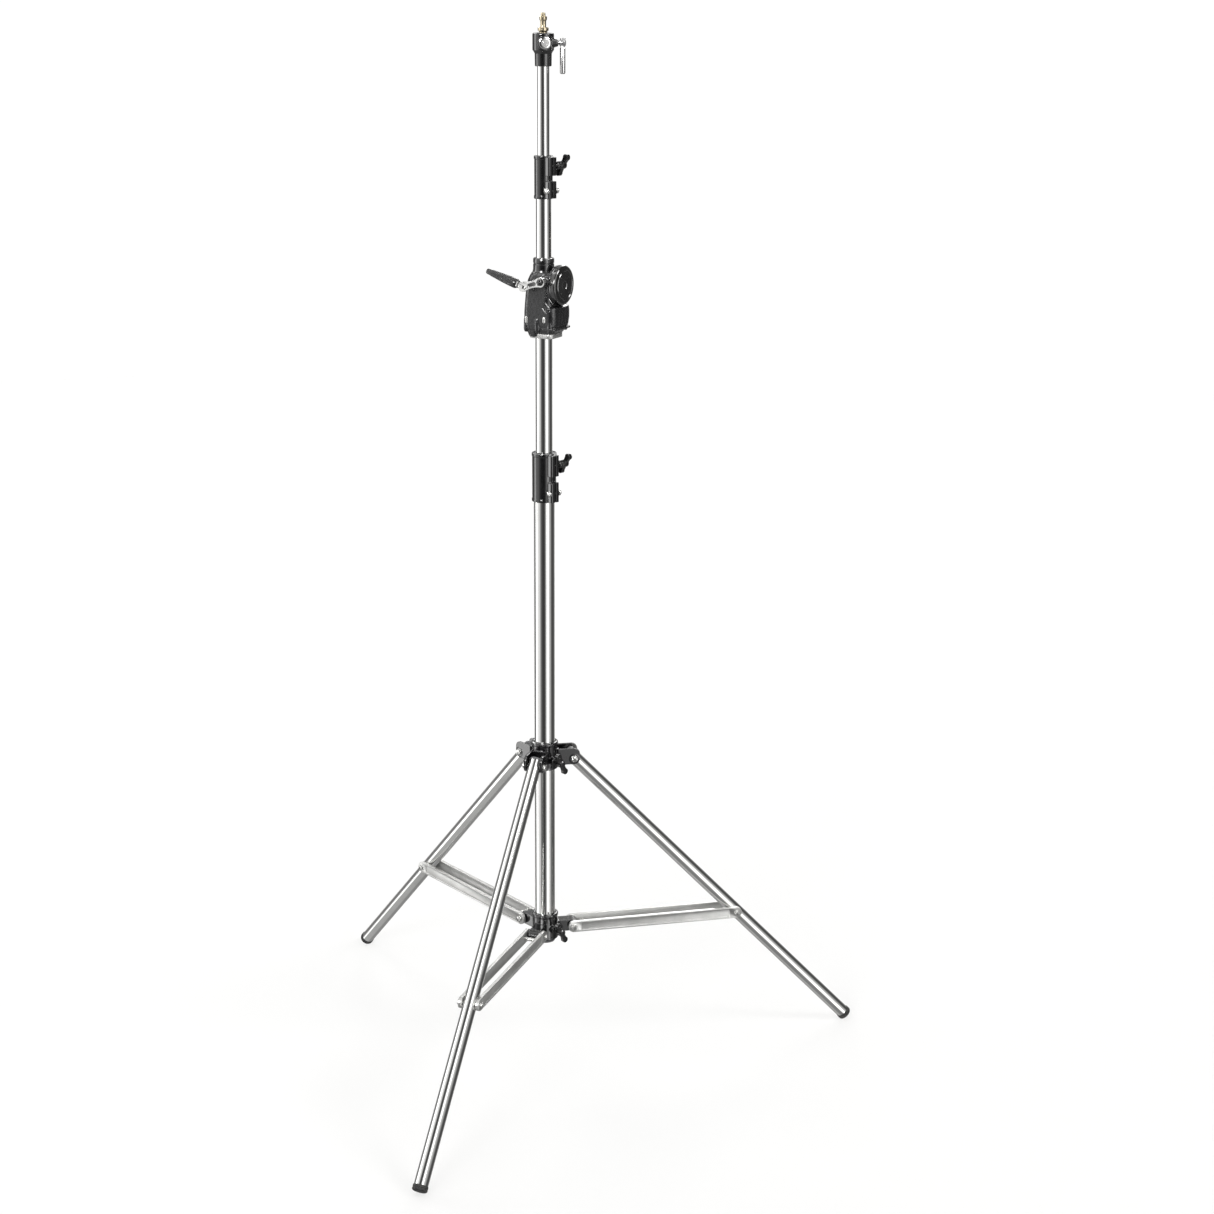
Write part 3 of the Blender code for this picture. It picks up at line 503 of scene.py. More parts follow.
def make_plastic(name, base, rough, depth=0.00015):
    """Moulded plastic with a fine spark-eroded grain, polished where hands hold it."""
    f = Finish(name).set(Metallic=0.0, IOR=1.7)
    grain = f.noise(1500.0, 2.0, 0.5)
    handling = f.noise(60.0, 4.0, 0.6)
    light = tuple(1.7 * channel for channel in base)
    f.colour(handling, base, light)
    f.rough(handling, *rough)
    f.bump(grain, 0.4, depth)
    return f.material


def make_rubber():
    f = Finish("foot_rubber").set(Metallic=0.0, Specular_IOR_Level=0.35)
    grain = f.noise(700.0, 4.0, 0.7)
    scuffs = f.noise(75.0, 6.0, 0.7)
    f.colour(scuffs, (0.012, 0.012, 0.012), (0.060, 0.058, 0.055), 0.45, 0.75)
    f.rough(scuffs, 0.60, 0.88)
    f.bump(grain, 0.5, 0.0003)
    return f.material


def make_brass():
    """Yellow-passivated stud, brighter where lamps have rubbed it."""
    f = Finish("stud_brass").set(Metallic=1.0)
    tarnish = f.noise(140.0, 5.0, 0.6)
    rings = f.noise(80.0, 2.0, 0.5, f.stretched((0.4, 0.4, 30.0)))
    f.colour(tarnish, (0.66, 0.57, 0.40), (0.50, 0.43, 0.30))
    f.rough(tarnish, 0.16, 0.34)
    f.bump(rings, 0.15, 0.0002)
    return f.material


CHROME = make_chrome()
LEVER_CHROME = make_chrome("lever_chrome", (0.70, 0.70, 0.70), (0.24, 0.36))
SATIN = make_satin()
ZINC = make_zinc()
CUT_STEEL = make_cut_steel()
CASTING = make_casting("black_casting", (0.0022, 0.0022, 0.0024), (0.08, 0.17), 700.0, 0.00012, 0.18)
WINCH_CASTING = make_casting(
    "winch_casting", (0.006, 0.006, 0.0064), (0.10, 0.24), 150.0, 0.0020, 0.45, 1.66)
ENAMEL = make_gloss_black()
KNOB = make_plastic("knob_plastic", (0.003, 0.003, 0.003), (0.12, 0.24), 0.00008)
GRIP = make_plastic("grip_plastic", (0.006, 0.006, 0.006), (0.18, 0.32), 0.0001)
NYLON = make_plastic("guide_nylon", (0.045, 0.045, 0.047), (0.42, 0.60))
RUBBER = make_rubber()
BRASS = make_brass()

NODE_FINISHES = {
    "chromed_steel": CHROME,
    "cut_steel": CUT_STEEL,
    "satin_bar": SATIN,
    "black_casting": CASTING,
    "black_knob": KNOB,
    "nylon": NYLON,
    "rubber": RUBBER,
    "cover": ENAMEL,
    "grip": GRIP,
    "flange": SATIN,
    "brass": BRASS,
}
SLOTS = {entry["node"]: entry["material_slot"] for entry in frame["record"]["subparts"]}


def paint(piece, material):
    piece.data.materials.clear()
    piece.data.materials.append(material)


def settle(piece, node, material):
    """The piece takes a CAD node's place: its body and its job of being seen."""
    paint(piece, material)
    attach(piece, NODES[node]["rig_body"])
    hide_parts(node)
    return piece


def add_to(piece, node, material):
    """A detail that goes with a CAD node's body but replaces nothing."""
    paint(piece, material)
    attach(piece, NODES[node]["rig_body"])
    return piece


def refine(node, mesh, matrix, material):
    """The mesh stands in for a CAD node."""
    return settle(add_piece(node + "_fine", mesh, matrix), node, material)


# ---------------------------------------------------------------- tubes


def make_column_tubes():
    """The base tube and the three risers, the second with the rack's slot."""
    for node in ("base_tube", "riser_1_tube", "riser_3_tube"):
        low, high, inner, outer = measure(node, COLUMN_FRAME)
        refine(node, turned_mesh(tube_profile(inner, outer, low, high)), COLUMN_FRAME, CHROME)
    low, high, _, outer = measure("riser_2_tube", COLUMN_FRAME)
    mesh = turned_mesh(tube_profile(outer - TUBE_WALL, outer, low, high))
    tube = add_piece("riser_2_tube_fine", mesh, COLUMN_FRAME)
    rack_low, rack_high, _, _ = measure("rack", WINCH_FRAME)
    half = 0.0035
    slot = box_mesh((0.010, -half, rack_low - 0.0003), (0.020, half, rack_high + 0.0003))
    cut(tube, moved(slot, WINCH_FRAME))
    soften(tube.data)
    settle(tube, "riser_2_tube", CHROME)


def leg_frame(side):
    """From the leg's pivot, z down along the tube and x along the pivot."""
    pivot, across = joint_place(f"leg_{side}_hinge")
    down = Vector(points_of(f"leg_{side}_tube").mean(axis=0)) - pivot
    return axis_frame(pivot, down, across)


def make_legs():
    """Each leg's tube, the plug in its upper end and its foot."""
    for side in SIDES:
        matrix = leg_frame(side)
        node = f"leg_{side}_tube"
        low, high, _, outer = measure(node, matrix)
        refine(node, turned_mesh(tube_profile(outer - TUBE_WALL, outer, low, high), 72), matrix, CHROME)
        make_leg_plug(side, matrix, low, outer)
        make_foot(side, matrix)


def make_leg_plug(side, matrix, top, outer):
    node = f"leg_{side}_plug"
    low, high, _, _ = measure(node, matrix)
    inside = outer - 0.0018
    profile = [
        (0.0, high), (inside - 0.001, high), (inside, high - 0.001),
        (inside, top - 0.0003), (outer, top - 0.0003), (outer, top - 0.0012),
        *arc(outer - 0.0042, low + 0.0042, 0.0042, 0, -70, 6),
        (0.0, low),
    ]
    refine(node, turned_mesh(profile, 48), matrix, NYLON)


def make_foot(side, matrix):
    """A rubber cup with a grooved wall, a rounded end and a flat worn where it stands."""
    node = f"leg_{side}_foot"
    low, _, _, outer = measure(node, matrix)
    end = low + FOOT_LENGTH
    inner = outer - 0.0009
    edge = 0.004
    profile = [
        (0.0, end),
        (outer - edge - 0.003, end),
        *arc(outer - edge, end - edge, edge, 90, 0, 8)[1:],
        (outer, low + 0.0068), (outer - 0.0005, low + 0.0063), (outer - 0.0005, low + 0.0053),
        (outer, low + 0.0048), (outer, low + 0.0008), (outer - 0.0004, low),
        (inner, low), (inner, end - 0.005), (0.0, end - 0.005),
    ]
    foot = add_piece(node + "_fine", turned_mesh(profile, 72), matrix)
    cut(foot, box_mesh((-1, -1, -0.1), (1, 1, CAD_BOX[0].z)))
    soften(foot.data)
    settle(foot, node, RUBBER)


# ---------------------------------------------------------------- fasteners


def hexagon(across_flats):
    corner = across_flats / math.sqrt(3)
    return arc(0, 0, corner, 0, 300, 5)


def hex_bolt(node, matrix, sizes):
    """A hexagon bolt and its nut, with a washer under each, in place of a CAD bolt along z."""
    across_flats, head, washer = sizes
    low, high, _, _ = measure(node, matrix)
    inner_low, inner_high = low + head, high - head
    shank = [(0, high - 0.001), (BOLT_SHANK, high - 0.001), (BOLT_SHANK, low + 0.001), (0, low + 0.001)]
    solids = [turned_mesh(shank, SMALL_ROUND)]
    for start, end in ((low, inner_low - WASHER), (inner_high + WASHER, high)):
        solids.append(extruded_mesh(hexagon(across_flats), start, end))
    for start, end in ((inner_low - WASHER, inner_low), (inner_high, inner_high + WASHER)):
        profile = [(0.0, end), (washer, end), (washer, start), (0.0, start)]
        solids.append(turned_mesh(profile, SMALL_ROUND))
    settle(bevelled(add_piece(node + "_fine", joined(solids), matrix), 0.0004, 2), node, ZINC)


def make_bolts():
    """The pivot bolts of both spiders, the bolts from brace to leg, and the collars' clamp bolts."""
    for side in SIDES:
        leg_point, leg_axis = joint_place(f"leg_{side}_hinge")
        brace_point, brace_axis = joint_place(f"brace_{side}_hinge")
        hex_bolt(f"upper_spider_bolt_{side}", axis_frame(leg_point, leg_axis), PIVOT_BOLT)
        hex_bolt(f"lower_spider_bolt_{side}", axis_frame(brace_point, brace_axis), PIVOT_BOLT)
        outer = axis_frame(middle_of(f"brace_{side}_bolt"), brace_axis)
        hex_bolt(f"brace_{side}_bolt", outer, BRACE_BOLT)
    for collar in ("collar_1", "collar_2"):
        _, axis = joint_place(f"{collar}_clamp")
        middle = Vector(points_of(f"{collar}_bolt").mean(axis=0))
        hex_bolt(f"{collar}_bolt", axis_frame(middle, axis), COLLAR_BOLT)


# ---------------------------------------------------------------- knobs


def make_t_knob(node, joint):
    """A T knob: a ribbed hub with a bar of two rounded lobes."""
    point, axis = joint_place(joint)
    plain = axis_frame(point, axis)
    inverse = plain.inverted()
    local = [inverse @ Vector(p) for p in points_of(node)]
    furthest = max(local, key=lambda p: math.hypot(p.x, p.y))
    matrix = plain @ Matrix.Rotation(math.atan2(furthest.y, furthest.x), 4, "Z")
    low, high, _, reach = measure(node, matrix)
    lobe = 0.0068
    half = reach - lobe
    hub = mm(high, (0, 0), (5.2, 0), (7.8, -2.2)) + mm(0, (8.6, 16.0), (6.6, 0.8), (0, 0.8))
    solids = [turned_mesh(hub, 64)]
    waist = [(0.0125, 0.0048), (0.006, 0.0046), (-0.006, 0.0046), (-0.0125, 0.0048)]
    outline = arc(half, 0, lobe, -125, 125, 20) + waist
    outline += arc(-half, 0, lobe, 55, 305, 20) + [(-x, -y) for x, y in waist]
    solids.append(extruded_mesh(outline, 0.0150, 0.0238))
    for x in (-0.011, 0.011):
        solids.append(box_mesh((x - 0.008, -0.0011, 0.0234), (x + 0.008, 0.0011, 0.0246)))
    for k in range(8):
        flute = box_mesh((0.0050, -0.0008, 0.0030), (0.0086, 0.0008, 0.0135))
        solids.append(moved(flute, rotation("Z", 45 * k + 22.5)))
    knob = cast(node + "_fine", solids, 0.00042, 5, 0.5, matrix)
    settle(knob, node, KNOB)
    stem = mm(0, (0, 1.5), (3.8, 1.5)) + mm(low, (3.8, 0), (0, 0))
    add_to(add_piece(node + "_screw", turned_mesh(stem, SMALL_ROUND), matrix), node, ZINC)


# ---------------------------------------------------------------- castings


def make_spider(node, knob_joint, hinge, is_fork):
    """A sliding hub with an arm, or a forked pair of arms, for each pivot and a boss for the knob."""
    low, high, _, _ = measure(node, COLUMN_FRAME)
    bore, _ = bore_for("base_tube")
    hub_outer = 0.0284
    lip = 0.0015
    hub = [(hub_outer - lip, high), (hub_outer, high - lip), (hub_outer, low + lip),
           (hub_outer - lip, low), (bore, low), (bore, high)]
    solids = [moved(turned_mesh(hub, ROUND, hollow=True), COLUMN_FRAME)]
    for band in (low + 0.004, high - 0.004):
        ring = [(hub_outer + 0.0011, band + 0.0026), (hub_outer + 0.0011, band - 0.0026),
                (bore + 0.002, band - 0.0026), (bore + 0.002, band + 0.0026)]
        solids.append(moved(turned_mesh(ring, ROUND, hollow=True), COLUMN_FRAME))
    for side in SIDES:
        pivot, _ = joint_place(hinge.format(side))
        matrix = axis_frame(Vector((COLUMN.x, COLUMN.y, pivot.z)), UP, pivot - COLUMN)
        solids += spider_arms(matrix, (pivot - COLUMN).xy.length, is_fork)
    point, axis = joint_place(knob_joint)
    boss_frame = axis_frame(point, axis)
    depth = (point - COLUMN).xy.length - bore - 0.001
    boss = mm(0, (0, -0.4), (7.8, -0.4), (8.8, -1.4)) + mm(-depth, (9.6, 0), (0, 0))
    solids.append(moved(turned_mesh(boss, 48), boss_frame))
    body = cast(node + "_cast", solids, 0.0008, 4, 0.45)
    settle(body, node, CASTING)


def spider_arms(matrix, pivot_r, is_fork):
    """Arms in a frame whose x axis is the spoke: a pair outside the leg, or one block between the bars."""
    radius = 0.0129
    start = 0.0258
    standing = rotation("X", 90)
    top = UPPER_EAR_TOP if is_fork else radius
    corner = arc(pivot_r, top - radius, radius, 0, 90, 12)
    outline = [(start, -radius)] + arc(pivot_r, 0, radius, -90, 0, 12)[:-1] + corner + [(start, top)]
    rim = arc(pivot_r, 0, radius * 0.80, 0, 360, 40)[:-1]
    if is_fork:
        walls = [(0.0156, 0.0214), (-0.0214, -0.0156)]
        pads = [(0.0150, 0.0220), (-0.0220, -0.0150)]
    else:
        walls = [(-0.0132, 0.0132)]
        pads = [(-0.0152, 0.0152)]
    solids = [moved(extruded_mesh(outline, *wall), matrix @ standing) for wall in walls]
    solids += [moved(extruded_mesh(rim, *pad), matrix @ standing) for pad in pads]
    if is_fork:
        web = box_mesh((start - 0.001, -0.0180, -0.0120), (start + 0.0045, 0.0180, top - 0.001))
        solids.append(moved(web, matrix))
    return solids


def make_collar(node, outer, ear_reach):
    """A split sleeve with clamp ears in two lifts, banded at its ends."""
    low, high, _, _ = measure(node, COLUMN_FRAME)
    bore = measure(node + "_bush", COLUMN_FRAME)[3] + 0.0003
    matrix = axis_frame(COLUMN, UP, ear_direction(node))
    half, gap, height = 0.0113, 0.0012, high - low
    gap_turn = math.degrees(math.asin(gap / bore))
    sleeve = arc(0, 0, outer, gap_turn, 360 - gap_turn, 88)
    sleeve += arc(0, 0, bore, 360 - gap_turn, gap_turn, 88)
    solids = [extruded_mesh(sleeve, low, high)]
    lifts = [(low + 0.002, low + height * 0.42), (low + height * 0.55, high - 0.002)]
    corner = 0.004
    for start, end in lifts:
        for side in (-1, 1):
            ear = ([(bore + 0.0022, side * gap)] + [(ear_reach, side * gap)]
                   + [(x, side * y) for x, y in arc(ear_reach - corner, half - corner, corner, 0, 90, 8)]
                   + [(bore + 0.0022, side * half)])
            solids.append(extruded_mesh(ear, start, end))
    for band in (low + 0.0035, high - 0.0035):
        ring = arc(0, 0, outer + 0.0009, gap_turn, 360 - gap_turn, 88)
        ring += arc(0, 0, bore + 0.001, 360 - gap_turn, gap_turn, 88)
        solids.append(extruded_mesh(ring, band - 0.0028, band + 0.0028))
    body = cast(node + "_cast", solids, 0.0006, 4, 0.45, matrix)
    settle(body, node, CASTING)


def ear_direction(node):
    """Across the knob's axis, outward from the column."""
    point, axis = joint_place(f"{node}_clamp")
    direction = UP.cross(axis)
    return direction if direction.dot(point - COLUMN) > 0 else -direction


def make_top_socket():
    """The socket for the stud: a sleeve on the riser, a round head and the lock screw's boss."""
    low, high, _, _ = measure("top_socket", COLUMN_FRAME)
    tube_r, step = bore_for("riser_3_tube")
    stem_r = 0.0084
    head = [(0.0183, high), *arc(0.0182, high - 0.004, 0.004, 80, 0, 6), (0.0222, low + 0.0335),
            *arc(0.0190, low + 0.0332, 0.0032, 0, -60, 5), (0.0176, low + 0.0250), (0.0172, low + 0.001),
            (0.0166, low), (tube_r, low), (tube_r, step), (stem_r, step), (stem_r, high)]
    solids = [moved(turned_mesh(head, ROUND, hollow=True), COLUMN_FRAME)]
    point, axis = joint_place("lock_turn")
    matrix = axis_frame(point, axis)
    boss = mm(0, (0, 31), (6.2, 31), (7.2, 29.6), (10.6, 19), (10.8, 12), (0, 12))
    solids.append(moved(turned_mesh(boss, 48), matrix))
    screw = middle_of("boss_screw") - COLUMN
    seat_frame = axis_frame(Vector((COLUMN.x, COLUMN.y, screw.z)), screw * Vector((1, 1, 0)))
    rim = measure("boss_screw", seat_frame)[3]
    seat = [(0, 0.0222), (rim + 0.0006, 0.0222), (rim + 0.0018, 0.0208), (rim + 0.0018, 0.0130),
            (0, 0.0130)]
    solids.append(moved(turned_mesh(seat, 48), seat_frame))
    settle(cast("top_socket_cast", solids, 0.00055, 4, 0.45), "top_socket", CASTING)

    button = [(0.0, 0.0248), (0.0046, 0.0248), (0.0050, 0.0238), (0.0074, 0.0238), (0.0082, 0.0248),
              (rim - 0.0022, 0.0246), (rim - 0.0004, 0.0234), (rim, 0.0218), (0.0, 0.0216)]
    piece = add_piece("boss_screw_fine", turned_mesh(button, 64), seat_frame)
    settle(piece, "boss_screw", CHROME)


def make_spigot():
    """The stud: a grooved pin on a flange."""
    low, high, _, _ = measure("spigot", COLUMN_FRAME)
    seat = high - 0.029
    profile = mm(high, (0, 0), (3.4, 0), (4.6, -1.0), (4.8, -6.6), (5.6, -7.0), (7.0, -7.2), (7.9, -8.1),
                 (7.9, -13.6), (7.4, -14.6), (6.1, -17.0))
    profile += mm(seat, (6.0, 1.0), (6.4, 0), (10.4, 0), (11.2, -0.8), (11.2, -6.2), (10.4, -7.2),
                  (8.0, -9.0))
    profile += mm(low, (8.0, 0.8), (7.2, 0), (0, 0))
    refine("spigot", turned_mesh(profile, 64), COLUMN_FRAME, BRASS)


def make_lock():
    """The lock screw, with a threaded stem, and the lever through its head."""
    point, axis = joint_place("lock_turn")
    matrix = axis_frame(point, axis)
    lever_middle = middle_of("lock_lever")
    lever_r = (lever_middle - point).dot(axis)
    hub = mm(lever_r, (0, 6.4), (5.4, 6.4), (6.6, 5.6), (7.2, 4.0), (7.2, -4.8), (6.4, -5.8), (3.6, -7.0))
    hub += mm(lever_r, *[(3.6 - 0.4 * (k % 2), -8.0 - 0.8 * k) for k in range(26)])
    hub += mm(0, (3.2, 8.8), (0, 8.8))
    refine("lock_screw", turned_mesh(hub, 48), matrix, LEVER_CHROME)
    lever_frame = axis_frame(point + axis * lever_r, UP)
    low, high, _, _ = measure("lock_lever", lever_frame)
    rod = mm(high, (0, 0), (3.8, 0)) + arc(0.0044, high - 0.0022, 0.0015, 70, -70, 5)
    rod += mm(high, (4.0, -4.4))
    rod += mm(0, (3.9, -7.8), (4.6, -9.2), (5.7, -11.2)) + mm(low, (5.7, 2.6), (5.0, 0.8), (4.0, 0), (0, 0))
    refine("lock_lever", turned_mesh(rod, 48), lever_frame, LEVER_CHROME)


# ---------------------------------------------------------------- winch


def rounded_box(left, right, half, corner, steps=10):
    return (
        arc(right - corner, half - corner, corner, 0, 90, steps)
        + arc(left + corner, half - corner, corner, 90, 180, steps)
        + arc(left + corner, corner - half, corner, 180, 270, steps)
        + arc(right - corner, corner - half, corner, 270, 360, steps)
    )


def loft_mesh(sections):
    shape = bmesh.new()
    rows = [[shape.verts.new((x, y, z)) for x, y in outline] for z, outline in sections]
    count = len(rows[0])
    for lower, upper in zip(rows, rows[1:]):
        for k in range(count):
            n = (k + 1) % count
            shape.faces.new((lower[k], lower[n], upper[n], upper[k]))
    shape.faces.new(rows[0][::-1])
    shape.faces.new(rows[-1])
    return closed(shape)


def lofted(base, stations):
    """A body from stations in millimetres: height, left, right, half depth and corner radius."""
    sections = []
    for height, *sizes in stations:
        sections.append((base + height / 1000, rounded_box(*[size / 1000 for size in sizes])))
    return loft_mesh(sections)


def winch_solids(low):
    """The body, the shaft's boss, the cover's seat, the pillars, and a lobe and a shelf at the base."""
    solids = [lofted(low, (
        (0, -24, 35, 28, 13), (4, -26, 38, 31, 15), (10, -29.5, 42, 35, 16), (18, -31.2, 45, 37, 16),
        (32, -31.8, 46.5, 38.5, 16), (46, -31.5, 46.5, 38.7, 16), (55.5, -30.8, 45.5, 38.4, 16),
        (58.5, -30.4, 36.2, 38.0, 15), (80, -28.8, 36.2, 37.2, 15), (100, -26.8, 36.2, 35.5, 15),
        (112, -25.0, 34.0, 32.5, 14), (121, -22.5, 30.5, 28.0, 14), (127, -20.0, 27.0, 23.5, 13),
    ))]
    boss = mm(0, (0, 45.8), (10.4, 45.8), (11.8, 44.4), (12.4, 38.0), (15.0, 34.0), (0, 30.0))
    shaft_x = (WINCH_FRAME.inverted() @ CRANK_POINT).x
    shaft_frame = Matrix.Translation((shaft_x, 0, CRANK_POINT.z)) @ rotation("X", 90)
    solids.append(moved(turned_mesh(boss, 64), shaft_frame))
    seat = mm(0, (0, 36.6), (39.8, 36.6), (40.8, 35.6), (40.8, 31.8), (37.0, 29.0), (0, 29.0))
    cover_z = middle_of("winch_cover").z
    cover_frame = Matrix.Translation((0, 0, cover_z)) @ rotation("Y", 90)
    solids.append(moved(turned_mesh(seat), cover_frame))
    pillar = mm(0, (0, 36), (3.4, 35), (6.0, 29), (6.4, 9), (4.6, 3), (0, 2))
    for x, y in ((-0.0240, 0.0300), (0.0045, 0.0345), (0.0330, 0.0315)):
        for side in (-1, 1):
            solids.append(moved(turned_mesh(pillar, 32), Matrix.Translation((x, side * y, low))))
    solids.append(lofted(low, (
        (-8.5, -19.5, 1, 27.5, 8), (-6, -22.5, 3, 30.5, 10), (4, -26.2, 4.5, 33, 12), (14, -27.5, 4, 33, 12),
    )))
    shelf = rounded_box(0.010, 0.0465, 0.0375, 0.010, 8)
    solids.append(extruded_mesh(shelf, low + 0.0085, low + 0.0125))
    return solids


def make_winch_housing():
    """The rough-cast winch body, bored for the tubes and with a pocket for the drive pinion."""
    low, high, _, _ = measure("winch_housing", WINCH_FRAME)
    body = cast("winch_housing_cast", winch_solids(low), 0.0007, 3, 0.5)
    body.data.transform(WINCH_FRAME)
    wide, step = bore_for("riser_1_tube")
    narrow, _ = bore_for("riser_2_tube")
    bore = [(0, high + 0.02), (narrow, high + 0.02), (narrow, step), (wide, step), (wide, low - 0.02),
            (0, low - 0.02)]
    pinion_low, pinion_high, _, pinion_outer = measure("drive_pinion", PINION_FRAME)
    pocket = [(0, pinion_high + 0.0006), (pinion_outer + 0.0010, pinion_high + 0.0006),
              (pinion_outer + 0.0010, pinion_low - 0.0006), (0, pinion_low - 0.0006)]
    cut(body, moved(turned_mesh(bore), COLUMN_FRAME), moved(turned_mesh(pocket, 64), PINION_FRAME))
    body.data.shade_smooth()
    settle(body, "winch_housing", WINCH_CASTING)
    make_winch_bars(low)


def make_winch_bars(low):
    """Three slanted enamelled bars by the cover and two upright steel pins low on the front."""
    # In millimetres: x, y, height above the base; lean in degrees; radius, half length; finish.
    bars = (
        (34.5, -31.2, 70.5, -38, 1.9, 8.5, ENAMEL),
        (29.8, -36.6, 61.0, -38, 1.9, 8.5, ENAMEL),
        (24.0, -39.8, 50.5, -38, 1.9, 8.5, ENAMEL),
        (-20.5, -36.7, 29.0, 0, 3.0, 8.0, ZINC),
        (22.5, -37.8, 31.0, 0, 3.4, 7.5, ZINC),
    )
    for k, (x, y, z, lean, radius, half, finish) in enumerate(bars):
        radius, half = radius / 1000, half / 1000
        bottom = arc(0, radius - half, radius, -80, 0, 8)
        top = arc(0, half - radius, radius, 0, 80, 8)
        bar = turned_mesh([(0, -half), *bottom, *top, (0, half)], 48)
        place = WINCH_FRAME @ Matrix.Translation((x / 1000, y / 1000, low + z / 1000)) @ rotation("Y", lean)
        add_to(add_piece(f"winch_housing_bar_{k + 1}", bar, place), "winch_housing", finish)


def make_winch_cover():
    """The round enamelled cover: a stepped face, a ribbed rim and four screws."""
    cover_z = middle_of("winch_cover").z
    matrix = WINCH_FRAME @ Matrix.Translation((0, 0, cover_z)) @ rotation("Y", 90)
    low, high, _, outer = measure("winch_cover", matrix)
    profile = mm(high, (0, -1.6), (8.0, -1.6), (9.2, -0.4), (12.0, 0), (28.5, -0.2), (29.6, -1.2),
                 (31.2, -1.2), (32.2, -0.4), (35.0, -0.8))
    profile += arc(outer - 0.0050, high - 0.0058, 0.0050, 78, 0, 8)
    profile += [(outer, low + 0.0030), (outer - 0.0008, low + 0.0022), (outer - 0.0008, low + 0.0016),
                (outer, low + 0.0010), (outer - 0.0003, low), (0.0362, low)]
    profile += mm(high, (36.2, -6.5), (0, -4.8))
    refine("winch_cover", turned_mesh(profile, 128), matrix, ENAMEL)
    ribs = []
    for k in range(60):
        rib = box_mesh((outer - 0.0006, -0.0006, low + 0.0034), (outer - 0.00002, 0.0006, high - 0.0062))
        ribs.append(moved(rib, rotation("Z", 6 * k)))
    rim = bevelled(add_piece("winch_cover_ribs", joined(ribs), matrix), 0.0002, 1)
    add_to(rim, "winch_cover", ENAMEL)
    for k in range(4):
        place = matrix @ rotation("Z", 90 * k + 45) @ Matrix.Translation((0.0225, 0, 0))
        screw = mm(high, (0, 0), (0.9, 0), (1.2, -0.6), (2.4, -0.6), (3.0, -1.0), (3.2, -3.0), (0, -3.0))
        piece = add_piece(f"winch_cover_screw_{k + 1}", turned_mesh(screw, 32), place)
        add_to(piece, "winch_cover", ZINC)


def make_winch_trim():
    """The upper guide, with a groove around it, and the foot flange."""
    low, high, inner, outer = measure("upper_guide", COLUMN_FRAME)
    profile = mm(high, (19.0, 0), (21.2, -0.8), (22.2, -2.6), (22.2, -10.0), (21.4, -11.0), (21.4, -12.8),
                 (22.2, -13.8)) + mm(low, (22.2, 5.0))
    profile += [(outer, low), (inner, low), (inner, high - 0.0010), (inner + 0.0010, high)]
    refine("upper_guide", turned_mesh(profile, ROUND, hollow=True), COLUMN_FRAME, CASTING)
    low, high, _, _ = measure("foot_flange", WINCH_FRAME)
    wide, _ = bore_for("riser_1_tube")
    mesh = extruded_mesh(rounded_box(-0.023, 0.034, 0.028, 0.013, 12), low, high)
    flange = add_piece("foot_flange_fine", mesh, WINCH_FRAME)
    bore = [(0.0, high + 0.01), (wide, high + 0.01), (wide, low - 0.01), (0.0, low - 0.01)]
    cut(flange, moved(turned_mesh(bore, ROUND), COLUMN_FRAME))
    settle(bevelled(flange, 0.0012, 4), "foot_flange", SATIN)


# ---------------------------------------------------------------- crank


def make_crank():
    """A forged arm with eyes at both ends and a thinner waist, its acorn nut and its grip."""
    shaft = axis_frame(CRANK_POINT, TO_FRONT, WINCH_X)
    hinge_point, hinge_axis = joint_place("grip_fold")
    low, high, _, _ = measure("crank_arm", shaft)
    end = shaft.inverted() @ hinge_point
    length = math.hypot(end.x, end.y)
    arm_frame = shaft @ Matrix.Rotation(math.atan2(end.y, end.x), 4, "Z")
    half, waist = 0.0104, 0.0072
    outline = (
        arc(0, 0, half, 60, 300, 24) + [(length * 0.34, -waist), (length * 0.62, -waist)]
        + arc(length, 0, half, -115, 115, 24) + [(length * 0.62, waist), (length * 0.34, waist)]
    )
    arm = add_piece("crank_arm_fine", extruded_mesh(outline, low, high), arm_frame)
    grip_frame = axis_frame(hinge_point, joint_place("grip_spin")[1], hinge_axis)
    fork = box_mesh((-0.0033, -0.02, -0.0085), (0.0033, 0.02, 0.03))
    panel_outline = arc(0.0145, 0, 0.0040, 90, 270, 10) + arc(length * 0.62, 0, 0.0034, -90, 90, 10)
    panel = extruded_mesh(panel_outline, high - 0.0018, high + 0.01)
    cut(arm, moved(fork, grip_frame), moved(panel, arm_frame))
    settle(bevelled(arm, 0.0011, 4), "crank_arm", CHROME)
    # A black sheet in the arm's recess is painted shade: it darkens the arm's middle, where the channel
    # between the chrome edges lies in shade.
    painted_shade_inlay = extruded_mesh(panel_outline, high - 0.0024, high - 0.0012)
    add_to(add_piece("crank_arm_painted_shade", painted_shade_inlay, arm_frame), "crank_arm", CASTING)

    nut_frame = shaft @ Matrix.Translation((0, 0, measure("crank_nut", shaft)[0]))
    solids = [
        extruded_mesh(hexagon(0.0130), 0.0, 0.0032),
        turned_mesh(mm(0, (0, 6.3), (3.0, 5.8), (4.8, 4.5), (5.6, 2.6), (0, 2.6)), 48),
    ]
    nut = cast("crank_nut_fine", solids, 0.0003, 2, 0.6, nut_frame)
    settle(nut, "crank_nut", CASTING)
    make_grip(grip_frame)


